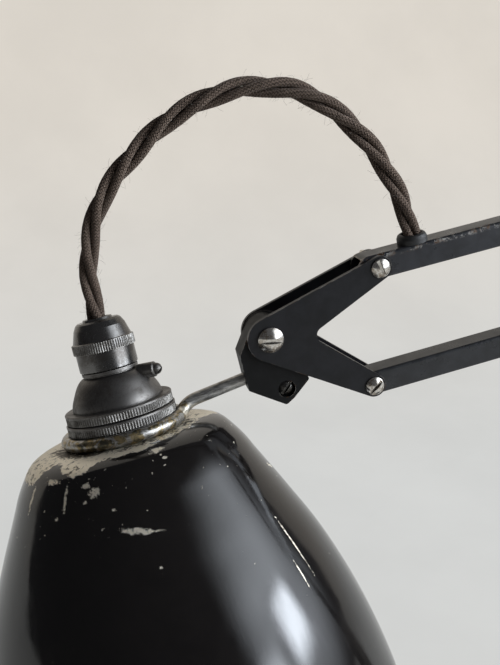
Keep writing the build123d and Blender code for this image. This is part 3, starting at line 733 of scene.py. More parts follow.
def frames_along(path: list, start: Vector | None = None) -> list:
    """Frames that slide along a path without twisting.

    Args:
        path: the points.
        start: the side direction wanted at the first point, if any.

    Returns:
        One (tangent, side, other side) for each point.
    """
    frames = []
    side = start
    for index, here in enumerate(path):
        before, after = path[max(index - 1, 0)], path[min(index + 1, len(path) - 1)]
        tangent = (after - before).normalized()
        if side is None:
            side = tangent.orthogonal().normalized()
        side = (side - tangent * side.dot(tangent)).normalized()
        frames.append((tangent, side, tangent.cross(side)))
    return frames


def spline_points(name: str, route: list) -> list:
    """The points of a smooth line through a route's control points.

    Args:
        name: a name for the line.
        route: the control points.

    Returns:
        The points, from one end to the other.
    """
    curve = bpy.data.curves.new(name, "CURVE")
    curve.dimensions = "3D"
    spline = curve.splines.new("NURBS")
    spline.points.add(len(route) - 1)
    for point, place in zip(spline.points, route):
        point.co = (*place, 1.0)
    spline.order_u = 3
    spline.use_endpoint_u = True
    spline.resolution_u = SPLINE_STEPS
    line = placed(name, curve)
    mesh = bpy.data.meshes.new_from_object(line.evaluated_get(bpy.context.evaluated_depsgraph_get()))
    points = [vertex.co.copy() for vertex in mesh.vertices]
    bpy.data.objects.remove(line)
    bpy.data.curves.remove(curve)
    bpy.data.meshes.remove(mesh)
    if (points[0] - Vector(route[0])).length > (points[-1] - Vector(route[0])).length:
        points.reverse()
    return points


# ---------------- geometry node trees
class NodeRecipe(Tree):
    """A Geometry Nodes tree with named inputs, turned to a plain mesh."""

    def __init__(self, name: str, **inputs: str) -> None:
        """Starts a tree with a geometry input and output.

        Args:
            name: the tree's name.
            inputs: the kind of each further input by name, with an underscore for each space.
        """
        super().__init__(bpy.data.node_groups.new(name, "GeometryNodeTree"))
        new_socket = self.tree.interface.new_socket
        new_socket("Geometry", in_out="OUTPUT", socket_type="NodeSocketGeometry")
        for label, kind in {"Geometry": "Geometry", **inputs, "Material": "Material"}.items():
            new_socket(label.replace("_", " "), in_out="INPUT", socket_type=f"NodeSocket{kind}")
        self.entry = self.tree.nodes.new("NodeGroupInput")
        self.exit = self.tree.nodes.new("NodeGroupOutput")

    def feed(self, socket: NodeSocket, value: object) -> None:
        """Feeds a socket; a plain string names one of the tree's own inputs."""
        super().feed(socket, self.entry.outputs[value] if isinstance(value, str) else value)

    def thickened(self, curve: Value, sides: object, radius: str) -> Value:
        """A curve made into a round wire with closed ends.

        Args:
            curve: the curve.
            sides: how many sides the wire has.
            radius: the input that holds its radius.

        Returns:
            The wire.
        """
        section = self.read("GeometryNodeCurvePrimitiveCircle", {"Resolution": sides, "Radius": radius})
        inputs = {"Curve": curve, "Profile Curve": section, "Fill Caps": True}
        return self.read("GeometryNodeCurveToMesh", inputs)

    def close(self, geometry: Value, smooth: bool = True) -> None:
        """Ends the tree: instances made real, shading set and the material given.

        Args:
            geometry: the finished geometry.
            smooth: whether its faces are shaded smooth.
        """
        real = self.read("GeometryNodeRealizeInstances", {0: geometry})
        shaded = self.read("GeometryNodeSetShadeSmooth", {0: real, "Shade Smooth": smooth})
        dressed = self.read("GeometryNodeSetMaterial", {0: shaded, "Material": "Material"})
        self.feed(self.exit.inputs[0], dressed)

    def run(self, name: str, source: Mesh, values: dict) -> Object:
        """Runs the tree on a mesh and keeps the result as a plain mesh.

        Args:
            name: the new piece's name.
            source: the mesh that goes in.
            values: the tree's inputs by name.

        Returns:
            The piece, with no modifier left on it.
        """
        carrier = placed(f"{name}_source", source)
        modifier = carrier.modifiers.new(name, "NODES")
        modifier.node_group = self.tree
        for item in self.tree.interface.items_tree:
            if item.in_out == "INPUT" and item.name in values:
                modifier[item.identifier] = values[item.name]
        shaped = carrier.evaluated_get(bpy.context.evaluated_depsgraph_get())
        mesh = bpy.data.meshes.new_from_object(shaped)
        mesh.name = name
        mesh.materials.clear()
        mesh.materials.append(values["Material"])
        bpy.data.objects.remove(carrier)
        return placed(name, mesh)


def wire_recipe() -> NodeRecipe:
    """A tree that gives a line of edges a round wire's thickness.

    Returns:
        The tree.
    """
    recipe = NodeRecipe("round_wire", Wire_Radius="Float", Sides="Int")
    curve = recipe.read("GeometryNodeMeshToCurve", {"Mesh": "Geometry"})
    recipe.close(recipe.thickened(curve, "Sides", "Wire Radius"))
    return recipe


def knurl_recipe() -> NodeRecipe:
    """A tree that stands ridges round a ring of given radius.

    Returns:
        The tree.
    """
    recipe = NodeRecipe("knurl_ridges", Radius="Float", Height="Float", Ridge_Width="Float", Count="Int")
    circle = recipe.read("GeometryNodeMeshCircle", {"Vertices": "Count", "Radius": "Radius"})
    ridge = recipe.read("GeometryNodeMeshCylinder", {
        "Vertices": 6, "Side Segments": 1, "Radius": "Ridge Width", "Depth": "Height"})
    place = recipe.read("GeometryNodeInputPosition", {})
    facing = recipe.read("FunctionNodeAlignRotationToVector", {"Vector": place}, axis="X")
    recipe.close(recipe.read(
        "GeometryNodeInstanceOnPoints", {"Points": circle, "Instance": ridge, "Rotation": facing}), False)
    return recipe


def fuzz_recipe() -> NodeRecipe:
    """A tree that scatters short bent fibres over a strand.

    Returns:
        The tree.
    """
    recipe = NodeRecipe("stray_fibres", Density="Float", Fibre_Length="Float", Fibre_Radius="Float",
                        Seed="Int")
    points = recipe.add("GeometryNodeDistributePointsOnFaces", {
        "Mesh": "Geometry", "Density": "Density", "Seed": "Seed"}).outputs
    bend = recipe.read("GeometryNodeCurveQuadraticBezier", {
        "Resolution": 4, "Start": ORIGIN, "Middle": (0.3, 0.1, 0.5), "End": (0.9, 0.35, 0.75)})
    scale = recipe.read("ShaderNodeCombineXYZ", {part: "Fibre Length" for part in "XYZ"})
    long = recipe.read("GeometryNodeTransform", {0: bend, "Scale": scale})
    fibre = recipe.thickened(long, 3, "Fibre Radius")
    spin = recipe.read("FunctionNodeRandomValue", {
        "Min": (-0.7, -0.7, 0.0), "Max": (0.7, 0.7, 6.28), "Seed": "Seed"}, data_type="FLOAT_VECTOR")
    stretch = recipe.read("FunctionNodeRandomValue", {2: 0.3, 3: 1.0, "Seed": "Seed"}, 1, data_type="FLOAT")
    turned = recipe.read("FunctionNodeRotateRotation", {"Rotation": points["Rotation"], "Rotate By": spin},
                         rotation_space="LOCAL")
    recipe.close(recipe.read("GeometryNodeInstanceOnPoints", {
        "Points": points[0], "Instance": fibre, "Rotation": turned, "Scale": stretch}))
    return recipe


# ---------------- places
@dataclass
class Places:
    """The lamp's pivots and the shade's axis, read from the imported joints."""

    joints: dict
    head_roll: float = math.radians(13.0)
    head_pitch: float = math.radians(8.0)
    fork_reach: float = 0.0616
    fork_depth: float = 0.01005
    arm_slope: float = math.radians(12.0)

    def pivot(self, joint: str) -> Vector:
        """The place of a joint."""
        return Vector(self.joints[joint]["pos_m"])

    @property
    def head(self) -> Matrix:
        """The shade's frame: its origin on the lampholder's rings, Z up its axis, X towards the knuckle.

        Returns:
            The frame.
        """
        rod = Vector(self.joints["shade_roll"]["axis"]).normalized()
        frame = Matrix((rod, (0.0, 1.0, 0.0), (-rod.z, 0.0, rod.x))).transposed().to_4x4()
        frame.translation = self.pivot("shade_roll")
        loop = Matrix.Rotation(-self.head_roll, 4, "X") @ Matrix.Translation((-self.fork_reach, 0.0, 0.0))
        pitch = Matrix.Rotation(self.head_pitch, 4, "Y")
        return frame @ loop @ pitch @ Matrix.Translation((0, 0, self.fork_depth))


def dress(nodes: dict, material: Material, *names: str) -> None:
    """Gives the named CAD nodes a material.

    Args:
        nodes: the frame's nodes by name.
        material: the material.
        names: which nodes get it.
    """
    for name in names:
        for slot in nodes[name].material_slots:
            slot.material = material


# ---------------- flex
@dataclass
class Stretch:
    """One stretch of the flex: its control points, real length and the bodies at its two ends."""

    name: str
    node: str
    route: list
    length: float
    bodies: tuple


@dataclass
class TwistedFlex:
    """Three braided cores twisted together, from the lampholder over to the grommet.

    Its routes are control points from the tilt screw, in millimetres.
    """

    places: Places
    strand_radius: float = 0.00162
    strand_offset: float = 0.00208
    crown_swell: float = 0.12
    end_pinch: float = 0.05
    wobble: float = 0.035
    wobbles_per_metre: float = 900.0
    lay: float = 0.055
    first_phase: float = 2.2
    strands: int = 3
    sides: int = 22
    step: float = 0.0005
    cap_top: float = 0.0308
    first_run: float = 0.013
    seat_in_grommet: float = 0.0022
    route_head: tuple = ((-62.7, 12.8, 37.2), (-56.2, 12.5, 54.1))
    route_crown: tuple = ((-37.6, 10.8, 74.8), (-20.5, 8.8, 85.0), (-3.9, 6.5, 89.3), (15.8, 4.0, 87.1))
    route_arm: tuple = ((35.7, 1.8, 72.2), (47.7, 0.5, 54.7), (52.9, 0.0, 43.6))
    grommet_distance: float = 0.016
    bar_half: float = 0.00475
    total: float = 0.2002
    fibres_per_area: float = 130000.0
    fibre_length: float = 0.0030
    fibre_radius: float = 0.000034
    first_seed: int = 11
    braid: CottonBraid = CottonBraid()
    fuzz: SoftMatter = SoftMatter(
        "stray_cotton", (0.05, 0.035, 0.028), (0.12, 0.09, 0.07), 0.9, 0.004, 0.00002, 0.3)

    def stretches(self) -> list:
        """The three stretches with their control points in the lamp's frame.

        Returns:
            The stretches, from the lampholder to the arm.
        """
        pivot = self.places.pivot("head_tilt")
        head, crown, arm = (
            [pivot + MM * Vector(place) for place in route]
            for route in (self.route_head, self.route_crown, self.route_arm)
        )
        up_axis = self.places.head.col[2].to_3d()
        start = self.places.head.translation + up_axis * self.cap_top
        head = [start, start + up_axis * self.first_run] + head
        reach = Vector((-math.cos(self.places.arm_slope), 0.0, -math.sin(self.places.arm_slope)))
        up = Vector((reach.z, 0.0, -reach.x))
        gate = self.places.pivot("head_level") - reach * self.grommet_distance + up * self.bar_half
        arm = arm + [gate + up * self.seat_in_grommet]
        low_seam, high_seam = (head[-1] + crown[0]) / 2, (crown[-1] + arm[0]) / 2
        return [
            Stretch("flex_from_holder", "flex_head", head + [low_seam], 0.0627, (Body.SHADE, Body.KNUCKLE)),
            Stretch("flex_crown_run", "flex_crown", [low_seam] + crown + [high_seam], 0.0827,
                    (Body.KNUCKLE, Body.HEAD_PLATES)),
            Stretch("flex_to_arm", "flex_arm", [high_seam] + arm, 0.0548, (Body.HEAD_PLATES, Body.UPPER_ARM)),
        ]

    def evenly(self, path: list) -> list:
        """The same line with points at even steps, both ends kept.

        Args:
            path: the line.

        Returns:
            The new points.
        """
        spans = [(after - before).length for before, after in zip(path, path[1:])]
        count = max(2, round(sum(spans) / self.step))
        points, walked, leg = [], 0.0, 0
        for index in range(count + 1):
            target = sum(spans) * index / count
            while leg < len(spans) - 1 and walked + spans[leg] < target:
                walked += spans[leg]
                leg += 1
            points.append(path[leg].lerp(path[leg + 1], min(1.0, (target - walked) / spans[leg])))
        return points

    def build(self) -> None:
        braid, fuzz = self.braid.material(), self.fuzz.material()
        walked, side = 0.0, None
        recipe = fuzz_recipe()
        for number, stretch in enumerate(self.stretches()):
            path = self.evenly(spline_points(stretch.name, stretch.route))
            frames = frames_along(path, side)
            shell = Shell(stretch.name)
            steps = [walked]
            for before, after in zip(path, path[1:]):
                steps.append(steps[-1] + (after - before).length)
            for strand in range(self.strands):
                self.add_strand(shell, path, frames, steps, strand)
            piece = shell.make(braid)
            fibres = recipe.run(f"{stretch.name}_fibres", piece.data.copy(), {
                "Density": self.fibres_per_area, "Fibre Length": self.fibre_length,
                "Fibre Radius": self.fibre_radius, "Seed": self.first_seed + number, "Material": fuzz})
            for soft in (piece, fibres):
                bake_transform(soft)
            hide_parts(stretch.node)
            2 * (self.strand_radius + self.strand_offset)
            LOG.info("%s: %.1f mm of twisted flex", stretch.name, (steps[-1] - walked) / MM)
            walked, side = steps[-1], frames[-1][1]

    def add_strand(self, shell: Shell, path: list, frames: list, steps: list, strand: int) -> None:
        """Adds one core to a stretch.

        Args:
            shell: the mesh to add to.
            path: the stretch's centre line.
            frames: its frames.
            steps: the distance along the whole flex at each point.
            strand: the core's number, from 0.
        """
        rings, centres = [], []
        for here, (_, side, other), step in zip(path, frames, steps):
            swell = 1.0 + self.crown_swell * math.sin(math.pi * step / self.total) ** 2 - self.end_pinch
            phase = self.first_phase - 2 * math.pi * (step / self.lay + strand / self.strands)
            out = math.cos(phase) * side + math.sin(phase) * other
            centres.append(here + out * self.strand_offset * swell)
        for (tangent, _, _), centre, middle in zip(frames_along(centres), centres, path):
            inward = middle - centre
            first = (inward - tangent * inward.dot(tangent)).normalized()
            wobble = 1.0 + self.wobble * noise.noise(centre * self.wobbles_per_metre)
            rings.append(shell.add_ring(circle_points(
                centre, first, tangent.cross(first), self.strand_radius * wobble, self.sides)))
        for low, high, start, end in zip(rings, rings[1:], steps, steps[1:]):
            shell.bridge(low, high, uv=(start / MM, end / MM))
        shell.cap(rings[0], centres[0], True)
        shell.cap(rings[-1], centres[-1])


# ---------------- springs
@dataclass
class CoilSpring:
    """A close-wound extension spring with a round hook at each end.

    Its low pin is near the arm's pivot.
    Its pitch is in wire radii, and the turn of its eyes is in degrees.
    """

    name: str
    node: str
    low: Vector
    high: Vector
    coil_radius: float
    bodies: tuple
    wire_radius: float = 0.00085
    wire_sides: int = 8
    pitch: float = 2.06
    first_width: float = 0.25
    hook_length: float = 0.012
    neck_share: float = 0.72
    eye_radius: float = 0.0035
    eye_start: float = 40.0
    eye_sweep: float = 290.0
    points_per_turn: int = 20
    change_over: tuple = (-0.06, 0.56)

    def centre_line(self) -> list:
        """The wire's centre line: an eye, a neck, the coil, a neck and an eye.

        Returns:
            Its points.
        """
        axis = (self.high - self.low).normalized()
        across = Vector((0.0, 1.0, 0.0))
        lateral = axis.cross(across).normalized()
        start, end = self.low + axis * self.hook_length, self.high - axis * self.hook_length
        length = (end - start).length
        turns = round(length / (self.pitch * self.wire_radius))
        line = self.eye(self.low, axis, lateral)
        count = turns * self.points_per_turn
        for index in range(count + 1):
            share = index / count
            angle = 2 * math.pi * turns * share
            grow = min(1.0, 2.0 * min(share, 1 - share) * turns + self.first_width)
            out = math.cos(angle) * lateral + math.sin(angle) * across
            line.append(start + axis * length * share + out * (self.coil_radius - self.wire_radius) * grow)
        line.extend(reversed(self.eye(self.high, -axis, lateral)))
        return line

    def eye(self, pin: Vector, axis: Vector, lateral: Vector) -> list:
        """The eye round a pin and the neck that leads from it to the coil.

        Args:
            pin: the pin's centre.
            axis: the direction of the coil.
            lateral: the direction square to it.

        Returns:
            Its points.
        """
        points = []
        for index in range(self.points_per_turn + 1):
            angle = math.radians(self.eye_start + self.eye_sweep * index / self.points_per_turn)
            points.append(pin + self.eye_radius * (math.cos(angle) * axis + math.sin(angle) * lateral))
        return points + [pin + axis * self.hook_length * self.neck_share]

    def build(self, recipe: NodeRecipe, material: Material) -> None:
        """Builds the spring.

        Args:
            recipe: the round wire tree.
            material: the wire's finish.
        """
        line = self.centre_line()
        mesh = bpy.data.meshes.new(self.name)
        mesh.from_pydata(line, [(index, index + 1) for index in range(len(line) - 1)], [])
        values = {"Wire Radius": self.wire_radius, "Sides": self.wire_sides, "Material": material}
        piece = recipe.run(self.name, mesh, values)
        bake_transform(piece)
        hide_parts(self.node)
        LOG.info("%s: %.0f mm between its pins", self.name, (self.high - self.low).length / MM)


@dataclass
class Springs:
    """The pair of balance springs and the link spring."""

    places: Places
    stud_rise: float = 0.035
    lateral: float = 0.016
    crossbar_distance: float = 0.170
    lug_distance: float = 0.190
    lug_offset: float = 0.014
    horn: tuple = (-0.030, 0.0, -0.008)
    lean: float = math.radians(22.0)
    balance_radius: float = 0.006
    link_radius: float = 0.0054
    link_eye_radius: float = 0.003
    link_change_over: tuple = (0.0, 0.28)
    steel: AgedMetal = AgedMetal(
        "spring_steel", (0.42, 0.41, 0.39), (0.13, 0.11, 0.09), 0.45, 0.24, 0.0006, 0.004)

    def build(self, nodes: dict) -> None:
        """Builds the three springs, and dresses the spindle's nut in their steel.

        Args:
            nodes: the frame's nodes.
        """
        material = self.steel.material()
        dress(nodes, material, "spindle_nut")
        recipe = wire_recipe()
        pivot = self.places.pivot("lower_arm_tilt")
        along = Vector((math.sin(self.lean), 0.0, math.cos(self.lean)))
        square = Vector((-along.z, 0.0, along.x))
        for side in Side:
            name = side.name.lower()
            low = pivot + Vector((0.0, side.value * self.lateral, self.stud_rise))
            high = pivot + along * self.crossbar_distance + Vector((0.0, side.value * self.lateral, 0.0))
            CoilSpring(f"balance_coil_{name}", f"balance_spring_{name}", low, high, self.balance_radius,
                       (Body.BRACKET, Body.LOWER_ARM)).build(recipe, material)
        lug = pivot + along * self.lug_distance + square * self.lug_offset
        CoilSpring("link_coil", "link_spring", pivot + Vector(self.horn), lug, self.link_radius,
                   (Body.ROCKER, Body.LOWER_ARM), eye_radius=self.link_eye_radius,
                   change_over=self.link_change_over).build(recipe, material)


# ---------------- shade and lampholder
@dataclass
class BellShade:
    """The spun bell: a flat top, a round shoulder, a flaring wall and a rolled rim.

    Its sizes are in millimetres. Its wall runs through (radius, depth below the top) points.
    """

    places: Places
    top: float = 12.5
    curve: tuple = (
        (24.0, 0.0), (27.8, 0.1), (31.8, 0.7), (36.4, 2.8), (39.6, 6.6), (43.1, 12.0), (47.2, 20.0),
        (54.8, 35.0), (64.1, 55.0), (72.5, 80.0), (78.2, 105.0), (81.2, 127.5),
    )
    wall: float = 1.0
    hole: float = 14.35
    rim: float = 1.7
    rim_points: int = 17
    rim_start: float = 62.0
    rim_sweep: float = 304.0
    rim_painted: int = 3
    outer_stop: float = 1.3
    inner_stop: float = 1.9
    row: float = 1.8
    segments: int = 224
    dent: float = 0.09
    dents_per_metre: float = 28.0
    dents_from: float = 14.0
    chips: tuple = (
        Chip(-76.5, 4.6, 6.5, 2.6), Chip(-72.5, 9.4, 4.4, 3.0), Chip(-70.3, 14.6, 1.6, 1.2),
        Chip(-111.5, 18.4, 2.6, 2.2), Chip(-107.3, 21.2, 3.2, 2.6), Chip(-112.0, 23.5, 1.2, 1.0),
        Chip(-133.0, 15.4, 5.6, 2.2), Chip(-122.4, 21.6, 1.0, 6.8), Chip(-91.5, 34.4, 9.0, 1.7, 13.0),
        Chip(-84.5, 35.8, 4.5, 0.6, 8.0), Chip(-147.0, 22.4, 1.2, 8.0), Chip(-6.3, 37.0, 5.0, 1.2, 30.0),
        Chip(-36.0, 57.5, 0.7, 17.0), Chip(-41.0, 66.0, 0.6, 9.0), Chip(-99.0, 27.0, 1.0, 0.8),
        Chip(-126.5, 27.5, 1.2, 1.0), Chip(-86.0, 46.0, 1.0, 0.8),
    )

    def smooth_wall(self) -> list:
        """The wall's outer face as closely spaced (radius, depth) points.

        Returns:
            The points, from the top to the mouth.
        """
        knots = [Vector(point) for point in self.curve]
        legs = [(after - before).normalized() for before, after in zip(knots, knots[2:])]
        leads = [Vector((1.0, 0.0)), *legs, (knots[-1] - knots[-2]).normalized()]
        wall = []
        for start, end, lead, next_lead in zip(knots, knots[1:], leads, leads[1:]):
            span = (end - start).length
            count = max(2, round(span / self.row)) + 1
            handles = start + lead * span / 3, end - next_lead * span / 3
            arc = geometry.interpolate_bezier(start, *handles, end, count)
            wall += [Vector(point[:2]) for point in arc[:-1]]
        return wall + [knots[-1]]

    def drawn_in(self, wall: list) -> list:
        """The wall's inner face.

        Args:
            wall: the outer face.

        Returns:
            The inner face.
        """
        inner = []
        for index, point in enumerate(wall):
            along = (wall[min(index + 1, len(wall) - 1)] - wall[max(index - 1, 0)]).normalized()
            inner.append(point + self.wall * Vector((-along.y, along.x)))
        return inner

    def profile(self) -> tuple:
        """The closed outline as (radius, depth), and the number of its first inside point.

        Returns:
            The outline and the number.
        """
        wall = self.smooth_wall()
        end = wall[-1]
        outer = [point for point in wall if point.y < end.y - self.outer_stop]
        inner = [point for point in self.drawn_in(wall) if point.y < end.y - self.inner_stop]
        middle = (self.hole + self.curve[0][0]) / 2
        outline = [(self.hole, 0.0), (middle, 0.0)] + [tuple(point) for point in outer]
        for index in range(self.rim_points):
            angle = math.radians(self.rim_start - self.rim_sweep * index / (self.rim_points - 1))
            across, down = self.rim * math.cos(angle), self.rim * math.sin(angle)
            outline.append((end.x - self.wall / 2 + across, end.y - down))
        first_inside = len(outline) - self.rim_painted
        outline += [tuple(point) for point in reversed(inner)]
        return outline + [(middle, self.wall), (self.hole, self.wall)], first_inside

    def build(self) -> None:
        """Builds the shade in place of its plain solid."""
        shell = Shell("bell_shade")
        head = self.places.head
        outline, first_inside = self.profile()
        circle = circle_points(Vector(ORIGIN), Vector((1, 0, 0)), Vector((0, 1, 0)), 1.0, self.segments)
        rings = []
        for radius, depth in outline:
            ring = []
            for out in circle:
                place = MM * (radius * out + Vector((0.0, 0.0, -self.top - depth)))
                uneven = noise.noise(place * self.dents_per_metre) - 1.0 if depth > self.dents_from else 0.0
                ring.append(head @ (place + out * self.dent * MM * uneven))
            rings.append(shell.add_ring(ring))
        for low, high in zip(rings, rings[1:] + rings[:1]):
            shell.bridge(high, low)
        wall = tuple(tuple(point) for point in self.smooth_wall())
        piece = shell.make(ShadeEnamel(head, self.top, wall, self.chips).material())
        piece.data.materials.append(SoftMatter(
            "shade_inside_paint", (0.60, 0.58, 0.52), (0.72, 0.70, 0.65), 0.38, 0.02, 0.00004).material())
        for polygon in piece.data.polygons:
            polygon.material_index = int(polygon.index // self.segments >= first_inside)
        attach(piece, Body.SHADE.value)
        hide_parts("shade")
        LOG.info("%s: %d faces", piece.name, len(piece.data.polygons))


@dataclass(frozen=True)
class KnurledBand:
    """A band of upright ridges round a turned piece, in millimetres."""

    name: str
    radius: float
    low: float
    high: float
    count: int
    width: float


@dataclass
class Lampholder:
    """The dark bronze lampholder: its cap, dome and two knurled rings."""

    places: Places
    bands: tuple = (
        KnurledBand("cap_knurl", 11.16, 20.3, 23.8, 80, 0.33),
        KnurledBand("upper_ring_knurl", 19.56, -3.5, -1.0, 124, 0.37),
        KnurledBand("lower_ring_knurl", 19.96, -7.5, -5.0, 124, 0.37),
    )
    bronze: AgedMetal = AgedMetal(
        "lampholder_bronze", (0.165, 0.161, 0.157), (0.088, 0.081, 0.074), 0.42, 0.16, 0.0006, 0.009,
        edge_colour=(0.36, 0.34, 0.31), edge_share=0.4, slot_depth=0.0008)
    brass: AgedMetal = AgedMetal("plain_brass", (0.55, 0.41, 0.19), (0.22, 0.15, 0.07), 0.45, 0.28)

    def build(self, nodes: dict) -> None:
        """Dresses the turned pieces and adds their knurls.

        Args:
            nodes: the frame's nodes.
        """
        dull = replace(self.bronze, name="dull_bronze", bright=(0.165, 0.158, 0.150),
                       tarnish=(0.092, 0.083, 0.075), rough=0.36)
        ridged = replace(
            self.bronze, name="worn_knurl_bronze", bright=(0.27, 0.26, 0.245), tarnish=(0.085, 0.077, 0.068),
            amount=0.5, rough=0.38, cloud=0.004, edge_colour=(0.5, 0.48, 0.44), edge_share=0.5,
            slot_depth=0.0006).material()
        dress(nodes, self.bronze.material(), "holder_cap")
        dress(nodes, dull.material(), "holder_dome", "holder_ring_upper", "holder_ring_lower", "earth_post",
              "earth_screw")
        dress(nodes, self.brass.material(), "holder_barrel", "shade_ring", "bulb_cap")
        dress(nodes, PearlGlass().material(), "bulb_glass")
        recipe = knurl_recipe()
        for band in self.bands:
            piece = recipe.run(band.name, bpy.data.meshes.new(band.name), {
                "Radius": band.radius * MM, "Height": (band.high - band.low) * MM,
                "Ridge Width": band.width * MM, "Count": band.count, "Material": ridged})
            rise = Matrix.Translation((0.0, 0.0, MM * (band.low + band.high) / 2))
            piece.data.transform(self.places.head @ rise)
            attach(piece, Body.SHADE.value)
            LOG.info("%s: %d ridges", band.name, band.count)


# ---------------- arms, head and base
@dataclass
class ArmsAndHead:
    """The painted bars, plates and knuckle with their nickel screws."""

    places: Places
    bars: WornPaint = WornPaint("arm_paint", (0.013, 0.0135, 0.015), gloss=0.30, wear=0.98, edge=0.0008)
    plates: WornPaint = WornPaint(
        "plate_paint", (0.0060, 0.0060, 0.0072), gloss=0.36, wear=0.75, edge=0.0004, shine=0.33)
    knuckle: WornPaint = WornPaint(
        "knuckle_paint", (0.0035, 0.0035, 0.0035), rust=(0.13, 0.06, 0.03), gloss=0.48, wear=0.6, chips=0.8,
        shine=0.22)
    nickel: AgedMetal = AgedMetal(
        "aged_nickel", (0.72, 0.69, 0.64), (0.26, 0.205, 0.15), 0.32, 0.11, 0.0005, 0.0022)
    dark: AgedMetal = AgedMetal("blackened_steel", (0.10, 0.097, 0.092), (0.03, 0.026, 0.022))
    fibre: SoftMatter = SoftMatter(
        "brown_fibre", (0.030, 0.024, 0.020), (0.070, 0.058, 0.050), 0.7, 0.002, 0.00008)
    rubber: SoftMatter = SoftMatter(
        "black_rubber", (0.012, 0.012, 0.012), (0.03, 0.03, 0.029), 0.55, 0.0015, 0.00006)

    def build(self, nodes: dict) -> None:
        """Dresses the arm's pieces.

        Args:
            nodes: the frame's nodes.
        """
        slope = Matrix.Rotation(-self.places.arm_slope, 4, "Y")
        upper = replace(self.bars, name="upper_bar_paint", black=(0.013, 0.0135, 0.016),
                        bar=Matrix.Translation(self.places.pivot("head_level")) @ slope)
        fixings = [name for name in nodes if name.endswith(("_screw", "_nut"))
                   and name not in ("clamp_screw", "earth_screw")]
        dress(nodes, self.bars.material(), "lower_arm_tube", "lower_bar", "link_bar", "swivel_bracket",
              "spring_lug")
        dress(nodes, upper.material(), "upper_bar")
        dress(nodes, self.plates.material(), "elbow_plate_front", "elbow_plate_rear", "elbow_rivets",
              "rocker_plate_front", "rocker_plate_rear", "head_plate_front", "head_plate_rear")
        dress(nodes, self.knuckle.material(), "knuckle")
        dress(nodes, self.dark.material(), "clamp_screw")
        dress(nodes, self.nickel.material(), *fixings, "spindle", "spring_stud_front", "spring_stud_rear",
              "spring_crossbar", "rocker_spring_pin")
        dress(nodes, self.fibre.material(), "fibre_washer_front", "fibre_washer_rear")
        dress(nodes, self.rubber.material(), "cord_grommet")
        dress(nodes, ForkWire(self.places.head).material(), "wire_fork")
        LOG.info("arms and head dressed")


@dataclass
class SteppedBase:
    """The stepped iron base on its felt."""

    paint: WornPaint = WornPaint(
        "base_enamel", (0.009, 0.009, 0.0095), gloss=0.16, wear=0.35, chips=0.2, edge=0.0008)
    felt: SoftMatter = SoftMatter(
        "green_felt", (0.014, 0.045, 0.024), (0.03, 0.085, 0.045), 0.95, 0.0018, 0.0003, 0.4)

    def build(self, nodes: dict) -> None:
        """Dresses the base's pieces.

        Args:
            nodes: the frame's nodes.
        """
        dress(nodes, self.paint.material(), "base_casting")
        dress(nodes, self.felt.material(), "base_felt")
        LOG.info("base dressed")


# ---------------- studio
@dataclass(frozen=True)
class SoftLamp:
    """A soft rectangular lamp that faces the head: its place from the camera's target, its size and watts."""

    name: str
    place: tuple
    size: tuple
    power: float
    colour: tuple
    core: float = 0.12
    peak: float = 1.7

    def build(self, target: Vector) -> None:
        """Adds the lamp, its light fading towards its edges.

        Args:
            target: what the camera looks at.
        """
        data = bpy.data.lights.new(self.name, "AREA")
        data.shape = "RECTANGLE"
        data.size, data.size_y = self.size
        data.energy, data.color = self.power, self.colour
        data.use_nodes = True
        tree = Tree(data.node_tree)
        spread = tree.parts(tree.read("ShaderNodeNewGeometry", {}, "Parametric"))[:2]
        across, up = (tree.fade(abs(part - 0.5), 0.5, self.core, 0.0, self.peak) for part in spread)
        glow = next(node for node in data.node_tree.nodes if node.type == "EMISSION")
        tree.feed(glow.inputs["Strength"], across * up)
        lamp = placed(self.name, data)
        lamp.location = target + Vector(self.place)
        lamp.rotation_euler = Vector(self.place).to_track_quat("Z", "Y").to_euler()


